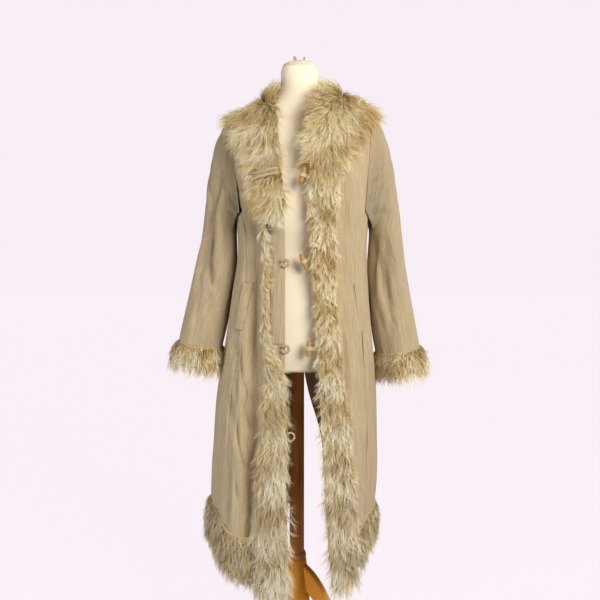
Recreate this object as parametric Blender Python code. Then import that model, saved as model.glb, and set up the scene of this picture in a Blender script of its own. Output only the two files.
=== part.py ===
"""Long open coat with shaggy fur trim, worn on a limbless dress form on a pole with a three-legged base.

Metres, Z up, floor at Z = 0, coat front towards -Y. Right and left are the wearer's: right is -X.
"""

import math

import bpy
import numpy as np

RIGHT, LEFT = -1, 1

# Cloth wall, the gap at a seam and the gap under a trim
WALL = 0.0022
SEAM = 0.0004
LIFT = 0.0003
FUR_LIFT = 0.0006
STEP_LIFT = 0.1

# Powers of the rounded rings and of the roll over the shoulder
COAT_SQUARE = 2.5
FORM_SQUARE = 2.3
SHOULDER_ROUND = 0.77

# Shoulder lines of the coat, with X as the distance from the centre plane; the right one sags
NECK_POINT = {RIGHT: (0.066, 0.012, 1.572), LEFT: (0.066, 0.012, 1.580)}
SHOULDER_TIP = {RIGHT: (0.187, 0.012, 1.498), LEFT: (0.191, 0.012, 1.512)}
SHOULDER_SAG = {RIGHT: 0.016, LEFT: 0.0}
NAPE = (0.0, 0.064, 1.574)
NAPE_SHARE = 0.34
EDGE_DRIFT = {RIGHT: 1.2, LEFT: 4.0}
ARMHOLE_DRIFT = 1.2


def name_of(side):
    return "right" if side == RIGHT else "left"


def table(columns, rows):
    """A dictionary of arrays, one for each named column."""
    return {name: np.array([row[i] for row in rows]) for i, name in enumerate(columns.split())}


# Rings of the coat from the hem to the underarm. Edges and vents are distances from the centre plane,
# seams are angles in degrees from the centre back.
BODY = table(
    "z_side z_front z_back half_right half_left front back edge_right edge_left vent_right vent_left"
    " seam_right seam_left seam_back",
    [
        (0.372, 0.284, 0.372, 0.243, 0.188, 0.190, 0.185, 0.031, 0.084, 0.006, 0.088, 133, 116, 62),
        (0.470, 0.406, 0.470, 0.241, 0.199, 0.180, 0.176, 0.033, 0.072, 0.005, 0.078, 133, 118, 62),
        (0.607, 0.574, 0.607, 0.238, 0.209, 0.166, 0.163, 0.036, 0.061, 0.004, 0.060, 132, 121, 62),
        (0.744, 0.731, 0.744, 0.231, 0.209, 0.154, 0.149, 0.038, 0.053, 0.003, 0.022, 131, 124, 62),
        (0.895, 0.892, 0.895, 0.205, 0.199, 0.142, 0.134, 0.038, 0.045, 0.000, 0.000, 130, 126, 62),
        (1.018, 1.018, 1.018, 0.187, 0.188, 0.131, 0.114, 0.038, 0.039, 0.000, 0.000, 129, 126, 62),
        (1.155, 1.155, 1.155, 0.168, 0.180, 0.122, 0.098, 0.038, 0.030, 0.000, 0.000, 124, 122, 62),
        (1.251, 1.251, 1.251, 0.173, 0.187, 0.127, 0.110, 0.040, 0.021, 0.000, 0.000, 116, 116, 62),
    ],
)
BODY_SHARE = (BODY["z_side"] - BODY["z_side"][0]) / (BODY["z_side"][-1] - BODY["z_side"][0])

# Largest folds of the skirt: a ridge is above 0 and a trough below
FOLDS = table(
    "side angle width depth z_top z_full",
    [
        (RIGHT, 152, 8, -0.012, 1.10, 0.70),
        (RIGHT, 140, 8, 0.008, 1.00, 0.60),
        (RIGHT, 112, 10, -0.008, 0.75, 0.50),
        (RIGHT, 88, 11, 0.007, 0.72, 0.50),
        (RIGHT, 62, 11, -0.010, 0.95, 0.55),
        (RIGHT, 38, 10, 0.010, 0.90, 0.50),
        (LEFT, 141, 9, 0.006, 1.00, 0.60),
        (LEFT, 118, 9, -0.008, 0.95, 0.55),
        (LEFT, 97, 10, 0.007, 0.72, 0.50),
        (LEFT, 66, 11, -0.009, 0.95, 0.50),
        (LEFT, 42, 9, 0.008, 0.85, 0.45),
    ],
)

# Sections of the sleeves from the bicep to the tips of the cuff fur
SLEEVES = {
    RIGHT: table(
        "z outer inner y depth",
        [
            (1.205, 0.265, 0.1745, 0.014, 0.062),
            (1.130, 0.280, 0.1745, 0.020, 0.063),
            (1.040, 0.301, 0.1885, 0.020, 0.064),
            (0.950, 0.323, 0.2035, 0.012, 0.066),
            (0.905, 0.332, 0.2140, 0.006, 0.067),
            (0.844, 0.336, 0.2260, 0.000, 0.068),
            (0.806, 0.338, 0.2320, -0.002, 0.068),
        ],
    ),
    LEFT: table(
        "z outer inner y depth",
        [
            (1.205, 0.275, 0.1900, 0.014, 0.062),
            (1.120, 0.288, 0.1865, 0.020, 0.063),
            (1.020, 0.305, 0.1925, 0.020, 0.064),
            (0.925, 0.322, 0.2040, 0.012, 0.066),
            (0.876, 0.330, 0.2130, 0.006, 0.067),
            (0.821, 0.333, 0.2230, 0.000, 0.068),
            (0.786, 0.335, 0.2280, -0.002, 0.068),
        ],
    ),
}
SLEEVE_SQUARE = 2.2
SLEEVE_TILT = 0.16
SLEEVE_HEAD = 0.55
CUFF_TOP, CLOTH_END = 0.769, 0.910
SLEEVE_FOLDS = table(
    "side angle width depth z_top z_bottom",
    [
        (RIGHT, 52, 16, -0.007, 1.36, 1.02),
        (RIGHT, 100, 16, 0.004, 1.28, 1.00),
        (RIGHT, 250, 18, -0.006, 1.30, 0.98),
        (LEFT, 108, 16, -0.005, 1.20, 0.98),
        (LEFT, 60, 18, 0.003, 1.30, 1.00),
        (LEFT, 255, 18, -0.006, 1.30, 0.98),
    ],
)

# Share of the loop round an armhole, and the angle of the sleeve's section there
ARMHOLE_SHARES = (0.0, 0.40, 0.60, 1.0)
ARMHOLE_ANGLES = (0.0, 140.0, 220.0, 360.0)

# Fur: pile height, how far the pile stands past the base, and each base's edges
PILE = {"collar": 0.024, "band": 0.019, "hem": 0.022, "cuff": 0.016}
STRIP_OF_FUR = table(
    "inside outside rise",
    [(0.0, -1.0, 0.35), (0.25, 0.15, 0.86), (0.5, 0.5, 1.0), (0.75, 0.85, 0.86), (1.0, 2.0, 0.35)],
)
HEM_FUR = table(
    "inside outside rise",
    [(0.0, -0.09, 0.35), (0.25, 0.15, 0.86), (0.5, 0.5, 1.0), (0.75, 0.92, 0.90), (1.0, 1.15, 0.35)],
)
CUFF_FUR = table(
    "inside outside rise",
    [(0.0, -0.10, 0.35), (0.25, 0.15, 0.86), (0.5, 0.5, 1.0), (0.75, 1.0, 0.95), (1.0, 1.45, 0.40)],
)
COLLAR_FUR = table(
    "inside outside rise",
    [
        (0.02, 0.00, 0.60),
        (0.14, 0.12, 0.92),
        (0.26, 0.25, 1.00),
        (0.38, 0.38, 1.00),
        (0.50, 0.50, 1.00),
        (0.62, 0.64, 0.98),
        (0.74, 0.78, 0.92),
        (0.86, 0.95, 0.80),
        (0.97, 1.14, 0.45),
    ],
)
FUR_ARCH = 0.0008
COLLAR_LIFT = 0.0030
HEM_SEAM = 0.106
COLLAR_START = {RIGHT: 0.97, LEFT: 1.20}
COLLAR_REACH = {
    RIGHT: table("c reach", [(0.0, 0.34), (0.2, 0.46), (0.4, 0.60), (0.6, 0.80), (0.8, 0.95), (1.0, 0.98)]),
    LEFT: table("c reach", [(0.0, 0.40), (0.2, 0.52), (0.4, 0.68), (0.6, 0.87), (0.8, 0.98), (1.0, 0.99)]),
}
COLLAR_FALL = 0.56
BANDS = {
    RIGHT: table(
        "z near far",
        [
            (0.30, 0.000, 0.076),
            (0.45, 0.000, 0.070),
            (0.68, 0.000, 0.058),
            (0.84, 0.000, 0.052),
            (0.92, 0.037, 0.058),
            (1.10, 0.037, 0.058),
            (1.30, 0.037, 0.058),
        ],
    ),
    LEFT: table(
        "z near far",
        [
            (0.30, 0.000, 0.078),
            (0.55, 0.000, 0.072),
            (0.78, 0.000, 0.058),
            (0.93, 0.000, 0.048),
            (1.10, 0.000, 0.046),
            (1.28, 0.000, 0.058),
            (1.40, 0.000, 0.066),
        ],
    ),
}
BAND_TOP = {RIGHT: 0.962, LEFT: 1.192}
OVERHANG = 0.010

# Rows of the panels, and where the front panels have columns inside the fur band, as shares of its width
LOW_ROWS = (0, 0.053, 0.106, *np.linspace(0.17, 0.885, 12), 0.93, 0.97, 1)
HIGH_ROWS = (1.12, 1.26, 1.42, 1.58, 1.74, 1.88, 1.96, 2.0)
BAND_COLUMNS = (0, 0.25, 0.5, 0.75, 1)
TRIM = 0.0013
BACK_COLUMNS = np.linspace(TRIM, 1 - TRIM, 11)
SIDE_COLUMNS = np.linspace(TRIM, 1 - TRIM, 8)
UP_THE_ARMHOLE = np.array(HIGH_ROWS) - 1
AROUND_SLEEVE = np.concatenate(
    [0.4 * (1 - UP_THE_ARMHOLE[::-1]), 0.6 - 0.2 * SIDE_COLUMNS[::-1], 0.6 + 0.4 * UP_THE_ARMHOLE[:-1]]
)

# Strip along the right front edge that carries the loops
STRIP_WIDTH, STRIP_LOW, STRIP_HIGH, STRIP_THICK = 0.031, 0.620, 0.962, 0.0020

# Pocket welts: middle angle, half their width in degrees, and their ends as shares of the body's height
WELTS = table(
    "side angle spread low high", [(RIGHT, 131, 5.5, 0.655, 0.795), (LEFT, 128, 5.0, 0.650, 0.790)]
)
WELT_THICK = 0.0024

# Toggles: height, reach past the left front edge, depth behind it, lean and swing in degrees, tab's tail
TOGGLES = table(
    "z reach behind lean swing tail",
    [
        (1.340, 0.0155, -0.0175, 14, 3, 0.0200),
        (1.125, 0.0230, -0.0040, -22, 10, 0.0185),
        (0.905, 0.0230, -0.0030, 4, 7, 0.0200),
        (0.680, -0.0300, 0.0140, 6, 0, 0.0270),
    ],
)
TOGGLE_LENGTH, TOGGLE_RADIUS = 0.042, 0.0062
TOGGLE_PROFILE = ((0.26, -1.0), (0.68, -0.93), (0.90, -0.6), (1, -0.25), (1, 0.25), (0.90, 0.6),
                  (0.68, 0.93), (0.26, 1.0))
TAB_WIDTH, TAB_THICK = 0.010, 0.0012

# Loops past the right front edge: height, reach, half their height and lean
LOOPS = table(
    "z reach half lean", [(1.120, 0.020, 0.0085, 10), (0.905, 0.021, 0.0085, -8), (0.680, 0.023, 0.0105, 0)]
)
CORD = 0.0025
LOOP_DEPTH = 0.0030
TOP_LOOP_Z, TOP_LOOP_LENGTH, TOP_LOOP_HALF = 1.352, 0.072, 0.0042

# Dress form: rings of the torso from its base to the neck's rim
TORSO = table(
    "z half front back",
    [
        (0.838, 0.156, 0.112, 0.112),
        (0.900, 0.162, 0.116, 0.116),
        (1.000, 0.154, 0.110, 0.102),
        (1.080, 0.138, 0.101, 0.088),
        (1.155, 0.129, 0.096, 0.082),
        (1.220, 0.140, 0.106, 0.088),
        (1.290, 0.150, 0.110, 0.096),
        (1.360, 0.156, 0.100, 0.098),
        (1.430, 0.158, 0.084, 0.095),
        (1.468, 0.158, 0.066, 0.082),
        (1.490, 0.151, 0.055, 0.070),
        (1.505, 0.139, 0.049, 0.065),
        (1.521, 0.111, 0.047, 0.061),
        (1.540, 0.083, 0.046, 0.056),
        (1.562, 0.061, 0.046, 0.050),
        (1.585, 0.0530, 0.047, 0.0475),
        (1.610, 0.0510, 0.0480, 0.0490),
        (1.634, 0.0495, 0.0475, 0.0480),
        (1.637, 0.0480, 0.0460, 0.0465),
    ],
)
NECK_CAP = table(
    "z radius", [(1.6373, 0.0475), (1.6410, 0.0470), (1.6480, 0.0410), (1.6530, 0.0300), (1.6550, 0.0140)]
)
CAP_PUCKERS, CAP_PUCKER_DEPTH = 9, 0.0012
TIES = table("x lean height", [(-0.011, -14, 0.016), (0.010, 8, 0.013)])
POLE_RADIUS, POLE_FOOT, ROUND_SIDES = 0.0205, 0.290, 24
STAND_X = -0.009
RING_PROFILE = ((0.0208, 0.2895), (0.0246, 0.2895), (0.0262, 0.2940), (0.0262, 0.2985), (0.0240, 0.3050),
                (0.0208, 0.3050))
HUB = table(
    "z radius",
    [(0.100, 0.020), (0.104, 0.025), (0.110, 0.027), (0.279, 0.027), (0.286, 0.0262), (0.2892, 0.0240)],
)
LEG_ANGLES = (-30, 90, 210)
LEG_THICK = 0.022
LEG_TOP = ((0.0275, 0.272), (0.055, 0.252), (0.085, 0.217), (0.110, 0.175), (0.135, 0.127), (0.165, 0.080),
           (0.188, 0.046), (0.208, 0.022), (0.217, 0.012))
LEG_UNDER = ((0.217, 0.000), (0.186, 0.000), (0.168, 0.014), (0.150, 0.042), (0.122, 0.083), (0.100, 0.122),
             (0.076, 0.158), (0.050, 0.186), (0.0275, 0.203))

# Colours and roughness of the simple materials
FINISHES = {
    "cloth": ((0.52, 0.41, 0.26, 1.0), 0.9),
    "fur": ((0.62, 0.54, 0.38, 1.0), 0.95),
    "toggle wood": ((0.55, 0.33, 0.14, 1.0), 0.5),
    "jersey": ((0.84, 0.76, 0.62, 1.0), 0.85),
    "dark wood": ((0.16, 0.07, 0.025, 1.0), 0.4),
    "pale wood": ((0.50, 0.25, 0.08, 1.0), 0.4),
}


def spline(xs, ys, x):
    """A smooth curve through a column, carried on straight past its ends."""
    slope = np.gradient(ys, xs)
    held = np.clip(x, xs[0], xs[-1])
    i = np.clip(np.searchsorted(xs, held) - 1, 0, len(xs) - 2)
    gap = xs[i + 1] - xs[i]
    t = (held - xs[i]) / gap
    start = (1 + 2 * t) * (1 - t) ** 2 * ys[i] + t * (1 - t) ** 2 * gap * slope[i]
    end = t**2 * (3 - 2 * t) * ys[i + 1] + t**2 * (t - 1) * gap * slope[i + 1]
    beyond = np.where(x < xs[0], slope[0], slope[-1]) * (x - held)
    return start + end + beyond


def smooth(t):
    t = np.clip(t, 0, 1)
    return t * t * (3 - 2 * t)


def body(column, v):
    return spline(BODY_SHARE, BODY[column], v)


def sided(column, side, v):
    """A column that has one value for each side."""
    return body(f"{column}_{name_of(side)}", v)


def rounded(angle, square):
    """Shares across and along a rounded ring at an angle in degrees from the back."""
    turn = np.radians(angle)
    across = np.sign(np.sin(turn)) * np.abs(np.sin(turn)) ** (2 / square)
    along = np.sign(np.cos(turn)) * np.abs(np.cos(turn)) ** (2 / square)
    return across, along


def fold_depth(side, angle, z):
    depth = np.zeros_like(z)
    for i in np.flatnonzero(FOLDS["side"] == side):
        fade = smooth((FOLDS["z_top"][i] - z) / (FOLDS["z_top"][i] - FOLDS["z_full"][i]))
        apart = (angle - FOLDS["angle"][i]) / FOLDS["width"][i]
        depth = depth + FOLDS["depth"][i] * fade * np.exp(-(apart**2))
    return depth


def ring(side, angle, v):
    """Outer face of the coat below the arms; v runs from 0 at the hem to 1 at the underarm."""
    half = sided("half", side, v)
    across, along = rounded(angle, COAT_SQUARE)
    depth = np.where(along < 0, body("front", v), body("back", v))
    z_end = np.where(along < 0, body("z_front", v), body("z_back", v))
    z = body("z_side", v) + (z_end - body("z_side", v)) * along**2
    x, y = side * half * across, depth * along
    out = np.stack([x / half**2, y / depth**2])
    out = out / np.linalg.norm(out, axis=0)
    push = fold_depth(side, angle, z)
    return np.stack([x + push * out[0], y + push * out[1], z], axis=-1)


def angle_at(side, v, distance):
    """Angle of the point that lies this far from the centre plane, counted from that plane."""
    half = sided("half", side, v)
    return np.degrees(np.arcsin((np.maximum(distance, 0) / half) ** (COAT_SQUARE / 2)))


def climb(low, top, rise, drift):
    """From the underarm level up to the shoulder line."""
    up = np.sin(rise * math.pi / 2)
    over = np.cos(rise * math.pi / 2) ** SHOULDER_ROUND
    x = low[..., 0] + (top[..., 0] - low[..., 0]) * up**drift
    y = top[..., 1] + (low[..., 1] - top[..., 1]) * over
    z = low[..., 2] + (top[..., 2] - low[..., 2]) * up
    return np.stack([x, y, z], axis=-1)


def shoulder(side, share, gap):
    point = [a + (b - a) * share for a, b in zip(NECK_POINT[side], SHOULDER_TIP[side])]
    sag = SHOULDER_SAG[side] * np.sin(math.pi * np.clip(share, 0, 1))
    return np.stack([side * point[0], point[1] + gap, point[2] - sag], axis=-1)


def front(side, a, w):
    """Front panel: a from front edge to side seam, w 0 at the hem, 1 under the arm, 2 at the shoulder."""
    v, rise = np.minimum(w, 1), np.clip(w - 1, 0, 1)
    edge = 180 - angle_at(side, v, sided("edge", side, v))
    low = ring(side, edge + (sided("seam", side, v) - edge) * a, v)
    drift = EDGE_DRIFT[side] + (ARMHOLE_DRIFT - EDGE_DRIFT[side]) * (1 - (1 - np.clip(a, 0, 1)) ** 2)
    return climb(low, shoulder(side, a, -SEAM / 2), rise, drift)


def back(side, a, w):
    """Half of the back: a from the centre seam or vent to the side seam, w as on the front."""
    v, rise = np.minimum(w, 1), np.clip(w - 1, 0, 1)
    vent = angle_at(side, v, sided("vent", side, v))
    low = ring(side, vent + (body("seam_back", v) - vent) * a, v)
    share = np.clip(a / NAPE_SHARE, 0, 1)
    x, y, z = NECK_POINT[side]
    past = 1 - share**2
    neck = [side * x * share, y + (NAPE[1] - y) * past + SEAM / 2, z + (NAPE[2] - z) * past]
    neck = np.stack(neck, axis=-1)
    line = shoulder(side, (a - NAPE_SHARE) / (1 - NAPE_SHARE), SEAM / 2)
    top = np.where((a < NAPE_SHARE)[..., None], neck, line)
    return climb(low, top, rise, ARMHOLE_DRIFT)


def underarm(side, a, v):
    """Side panel: a from the back seam to the front seam."""
    return ring(side, body("seam_back", v) + (sided("seam", side, v) - body("seam_back", v)) * a, v)


def sleeve_section(side, angle, share):
    """A sleeve's section at a share of the way from the bicep to the fur's tips; angle 0 faces outwards."""
    rows = SLEEVES[side]
    z = rows["z"][0] + (rows["z"][-1] - rows["z"][0]) * share
    at = [spline(rows["z"][::-1], rows[name][::-1], z) for name in ("outer", "inner", "y", "depth")]
    along, across = rounded(angle, SLEEVE_SQUARE)
    half = (at[0] - at[1]) / 2
    x = (at[0] + at[1]) / 2 + half * across
    return np.stack([side * x, at[2] - at[3] * along, z + SLEEVE_TILT * half * across], axis=-1)


def armhole(side, p):
    """Loop round the armhole: down the front from the shoulder tip, under the arm and up the back."""
    p = np.mod(p, 1)
    _, front_end, back_start, _ = ARMHOLE_SHARES
    past = 1 + SEAM / 0.14
    on_front = front(side, past, 2 - p / front_end)
    under = underarm(side, 1 - (p - front_end) / (back_start - front_end), np.full_like(p, 1 + SEAM / 0.88))
    on_back = back(side, np.full_like(p, past), 1 + (p - back_start) / (1 - back_start))
    under = np.where((p < back_start)[..., None], under, on_back)
    return np.where((p < front_end)[..., None], on_front, under)


def sleeve_fold(side, angle, z):
    depth = np.zeros_like(z)
    for i in np.flatnonzero(SLEEVE_FOLDS["side"] == side):
        top, bottom = SLEEVE_FOLDS["z_top"][i], SLEEVE_FOLDS["z_bottom"][i]
        fade = smooth((top - z) / 0.08) * smooth((z - bottom) / 0.08)
        apart = (angle - SLEEVE_FOLDS["angle"][i]) / SLEEVE_FOLDS["width"][i]
        depth = depth + SLEEVE_FOLDS["depth"][i] * fade * np.exp(-(apart**2))
    return depth


def sleeve(side, p, t):
    """Sleeve: p round it from the top, t 0 at the armhole, 1 at the bicep, 2 at the tips of the cuff fur."""
    angle = np.interp(np.mod(p, 1), ARMHOLE_SHARES, ARMHOLE_ANGLES)
    start, bicep = armhole(side, p), sleeve_section(side, angle, np.zeros_like(t))
    pull = SLEEVE_HEAD * np.linalg.norm(bicep - start, axis=-1)[..., None]
    inward = (1 - np.cos(np.radians(angle))) / 2
    leave = np.stack([side * (1 - 0.4 * inward), np.zeros_like(t), -0.28 - 0.5 * inward], axis=-1)
    arrive = np.array([side * 0.13, 0.0, -1.0])
    s = np.clip(t, 0, 1)[..., None]
    cap = (1 + 2 * s) * (1 - s) ** 2 * start + s * (1 - s) ** 2 * pull * leave
    cap = cap + s**2 * (3 - 2 * s) * bicep + s**2 * (s - 1) * pull * arrive
    low = sleeve_section(side, angle, np.maximum(t - 1, 0))
    point = np.where((t < 1)[..., None], cap, low)
    push = sleeve_fold(side, angle, point[..., 2])
    turn = np.radians(angle)
    return point + np.stack([side * np.cos(turn) * push, -np.sin(turn) * push, np.zeros_like(push)], axis=-1)


def collar(side, s, c):
    """Collar: s from neck edge to outer edge, c 0 at its front end, 1 at the shoulder, 2 at the nape."""
    reach = spline(COLLAR_REACH[side]["c"], COLLAR_REACH[side]["reach"], np.clip(c, 0, 1))
    on_front = front(side, s * reach, COLLAR_START[side] + (2 - COLLAR_START[side]) * np.minimum(c, 1))
    turn = np.clip(c - 1, 0, 1) * math.pi / 2
    near = NAPE_SHARE * (1 - np.clip(c - 1, 0, 1))
    far = (NAPE_SHARE + (1 - NAPE_SHARE) * reach) * np.cos(turn) ** 0.8
    fall = COLLAR_FALL * np.sin(turn) ** 1.2
    on_back = back(side, near + (far - near) * s, 2 - fall * s)
    return np.where((c <= 1)[..., None], on_front, on_back)


def front_width(side, w):
    """Length of cloth from the front edge to the side seam."""
    steps = np.linspace(0, 1, 13)
    line = front(side, *np.broadcast_arrays(steps, np.asarray(w)[..., None]))
    return np.linalg.norm(np.diff(line, axis=-2), axis=-1).sum(axis=-1)


def band(side, s, w):
    """Fur band on a front: s 0 at its edge side, 1 at its seam side; -1 and 2 are the ends of its pile."""
    near, far = band_reach(side, "near", w), band_reach(side, "far", w)
    distance = near + (far - near) * np.clip(s, 0, 1) + OVERHANG * (np.minimum(s, 0) + np.maximum(s - 1, 0))
    return front(side, distance / front_width(side, np.clip(w, 0, 2)), w)


def band_reach(side, column, w):
    """Distance from the front edge to one side of the fur band."""
    held = np.clip(w, 0, 2)
    z = front(side, np.zeros_like(held), held)[..., 2]
    return np.interp(z, BANDS[side]["z"], BANDS[side][column])


def front_columns(side, w):
    """The front panel's columns at each row: some inside the fur band, the rest from there to the seam."""
    w = np.asarray(w, float)[:, None]
    width = front_width(side, w)
    far = band_reach(side, "far", w) / width
    past = far + OVERHANG / width
    inside = far * np.array(BAND_COLUMNS)
    return np.concatenate([inside, past + (1 - TRIM - past) * np.linspace(0, 1, 6)], axis=1)


def hem(side, s, m):
    """Hem fur: s from its seam to the hem, m 0 at the vent, 1 and 2 at the side seams, 3 at the front."""
    v = HEM_SEAM * (1 - s)
    held = np.clip(v, 0, 1)
    start = angle_at(side, held, sided("vent", side, held))
    edge = 180 - angle_at(side, held, sided("edge", side, held))
    seam_back, seam_front = body("seam_back", held), sided("seam", side, held)
    far = (band_reach(side, "far", held) + OVERHANG + 0.0015) / front_width(side, held)
    end = edge + (seam_front - edge) * far
    angle = start + (seam_back - start) * np.clip(m, None, 1)
    angle = angle + (seam_front - seam_back) * np.clip(m - 1, 0, 1)
    angle = angle + (end - seam_front) * np.clip(m - 2, 0, None)
    return ring(side, angle, v)


def cuff(side, s, p):
    """Fur cuff: s from its seam down to the sleeve's end, p round it."""
    return sleeve(side, p, 1 + CUFF_TOP + (CLOTH_END - CUFF_TOP) * s)


def unit(vectors):
    return vectors / np.maximum(np.linalg.norm(vectors, axis=-1), 1e-12)[..., None]


def moved(surface, side, a, b, out, sense):
    """Points of a surface moved out along its normal; sense turns the normal outwards."""
    a, b = np.broadcast_arrays(np.asarray(a, float), np.asarray(b, float))
    step = 2e-4
    d_a = surface(side, a + step, b) - surface(side, a - step, b)
    d_b = surface(side, a, b + step) - surface(side, a, b - step)
    normal = sense * side * unit(np.cross(d_a, d_b))
    return surface(side, a, b) + normal * np.asarray(out)[..., None]


def finish(kind, name):
    colour, rough = FINISHES[kind]
    material = bpy.data.materials.new(name)
    material.use_nodes = True
    shader = material.node_tree.nodes["Principled BSDF"]
    shader.inputs["Base Color"].default_value = colour
    shader.inputs["Roughness"].default_value = rough
    return material


def add_object(name, points, faces, kind):
    """A closed mesh with its faces turned outwards."""
    points = np.asarray(points)
    volume = 0.0
    for face in faces:
        for i in range(1, len(face) - 1):
            volume += np.dot(points[face[0]], np.cross(points[face[i]], points[face[i + 1]]))
    if volume < 0:
        faces = [face[:1] + face[:0:-1] for face in faces]
    mesh = bpy.data.meshes.new(name)
    mesh.from_pydata(points.tolist(), [], faces)
    mesh.update()
    mesh.materials.append(finish(kind, name))
    made = bpy.data.objects.new(name, mesh)
    COAT.objects.link(made)
    return made


def grid_faces(rows, columns, wrap):
    """Quads of a grid of points, joined across its last column if wrap is set."""
    last = columns if wrap else columns - 1
    faces = []
    for r in range(rows - 1):
        for c in range(last):
            d = (c + 1) % columns
            faces.append((r * columns + c, r * columns + d, (r + 1) * columns + d, (r + 1) * columns + c))
    return faces


def add_wall(name, outer, inner, kind, wrap=False):
    """A closed wall between two grids of points; wrap joins the columns into a tube."""
    rows, columns = outer.shape[:2]
    count = rows * columns
    faces = grid_faces(rows, columns, wrap)
    faces += [tuple(count + face[i] for i in (0, 3, 2, 1)) for face in faces]
    rims = [[c for c in range(columns)], [(rows - 1) * columns + c for c in reversed(range(columns))]]
    if wrap:
        rims = [rim + rim[:1] for rim in rims]
    else:
        rims.append([r * columns for r in reversed(range(rows))])
        rims.append([r * columns + columns - 1 for r in range(rows)])
    for rim in rims:
        for i, j in zip(rim, rim[1:]):
            faces.append((j, i, count + i, count + j))
    return add_object(name, np.concatenate([outer.reshape(-1, 3), inner.reshape(-1, 3)]), faces, kind)


def add_panel(name, surface, side, a_values, w_values, sense):
    w = np.asarray(w_values, float)[:, None]
    a, w = np.broadcast_arrays(a_values, w)
    outer = moved(surface, side, a, w, np.zeros_like(a), sense)
    inner = moved(surface, side, a, w, np.full_like(a, -WALL), sense)
    add_wall(name, outer, inner, "cloth")


def add_fur(name, surface, side, section, along, pile, lift, sense, wrap=False):
    """A crowned strip of fur: nearly flat underneath, with its pile past the base on both sides."""
    along = np.asarray(along, float)
    inside, b = np.meshgrid(section["inside"], along)
    across = np.broadcast_to(section["outside"], inside.shape)
    height = np.broadcast_to(pile, along.shape)[:, None] * section["rise"]
    under = np.broadcast_to(lift, along.shape)[:, None] + FUR_ARCH * np.sin(math.pi * inside)
    outer = moved(surface, side, across, b, height, sense)
    inner = moved(surface, side, inside, b, under, sense)
    if wrap:
        outer, inner = np.swapaxes(outer, 0, 1), np.swapaxes(inner, 0, 1)
    add_wall(name, outer, inner, "fur", wrap)


def add_loft(name, rings, kind):
    """A solid through rings with the same number of points, closed by flat ends."""
    rings = np.asarray(rings)
    rows, columns = rings.shape[:2]
    faces = grid_faces(rows, columns, True)
    faces.append(tuple(reversed(range(columns))))
    faces.append(tuple((rows - 1) * columns + c for c in range(columns)))
    return add_object(name, rings.reshape(-1, 3), faces, kind)


def add_cord(name, path, radius, sides, kind):
    """A round cord along a path, with flat ends."""
    path = np.asarray(path)
    along = np.gradient(path, axis=0)
    along /= np.linalg.norm(along, axis=1)[:, None]
    across = np.cross(along[0], (0.0, 1.0, 0.0))
    rings = []
    for point, way in zip(path, along):
        across = across - way * np.dot(across, way)
        across /= np.linalg.norm(across)
        up = np.cross(way, across)
        turns = np.arange(sides) * 2 * math.pi / sides
        rings.append([point + radius * (math.cos(t) * across + math.sin(t) * up) for t in turns])
    add_loft(name, rings, kind)


def turned(profile, sides):
    """Rings of a turned shape from pairs of radius and height."""
    turns = np.arange(sides) * 2 * math.pi / sides
    return [[(r * math.cos(t), r * math.sin(t), z) for t in turns] for r, z in profile]


def build_panels():
    full = LOW_ROWS + HIGH_ROWS
    for side in (RIGHT, LEFT):
        name = name_of(side)
        add_panel(f"front_{name}", front, side, front_columns(side, full), full, 1)
        add_panel(f"back_{name}", back, side, BACK_COLUMNS, full, -1)
        add_panel(f"side_{name}", underarm, side, SIDE_COLUMNS, LOW_ROWS, -1)


def build_sleeves():
    rows = np.concatenate([np.linspace(0, 1, 7), np.linspace(1, 1 + CUFF_TOP, 6)[1:], [1 + CLOTH_END]])
    for side in (RIGHT, LEFT):
        p, t = np.meshgrid(AROUND_SLEEVE, rows)
        outer = sleeve(side, p, t)
        to_axis = unit(outer.mean(axis=1, keepdims=True) - outer)
        ahead = unit(np.roll(outer, -1, axis=1) - outer)
        normal = side * unit(np.cross(ahead + np.roll(ahead, 1, axis=1), np.gradient(outer, axis=0)))
        inward = to_axis - (to_axis + normal) * smooth(t / 0.2)[..., None]
        inner = outer + WALL * unit(inward)
        add_wall(f"sleeve_{name_of(side)}", outer, inner, "cloth", wrap=True)


def build_fur():
    for side in (RIGHT, LEFT):
        name = name_of(side)
        front_rows = [w for w in LOW_ROWS + HIGH_ROWS if w > COLLAR_START[side] + 0.01]
        rows = (np.array([COLLAR_START[side]] + front_rows) - COLLAR_START[side]) / (2 - COLLAR_START[side])
        rows = np.concatenate([rows, np.linspace(1, 1.996, 10)[1:]])
        lift = LIFT + COLLAR_LIFT * smooth((rows - 0.5) / 0.4)
        add_fur(f"collar_{name}", collar, side, COLLAR_FUR, rows, PILE["collar"], lift, 1)
        rows = [-0.012] + [w for w in LOW_ROWS + HIGH_ROWS if w < BAND_TOP[side] - 0.01] + [BAND_TOP[side]]
        lift = FUR_LIFT + STEP_LIFT * np.abs(np.gradient(band_reach(side, "near", np.array(rows))))
        add_fur(f"fur_band_{name}", band, side, STRIP_OF_FUR, rows, PILE["band"], lift, 1)
        rows = np.concatenate([BACK_COLUMNS, 1 + SIDE_COLUMNS[1:], np.linspace(2, 3, 6)[1:]])
        add_fur(f"fur_hem_{name}", hem, side, HEM_FUR, rows, PILE["hem"], FUR_LIFT, -1)
        turn = np.radians(np.interp(AROUND_SLEEVE, ARMHOLE_SHARES, ARMHOLE_ANGLES))
        pile = PILE["cuff"] * (0.75 + 0.25 * np.cos(turn))
        add_fur(f"fur_cuff_{name}", cuff, side, CUFF_FUR, AROUND_SLEEVE, pile, LIFT, -1, True)


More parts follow.
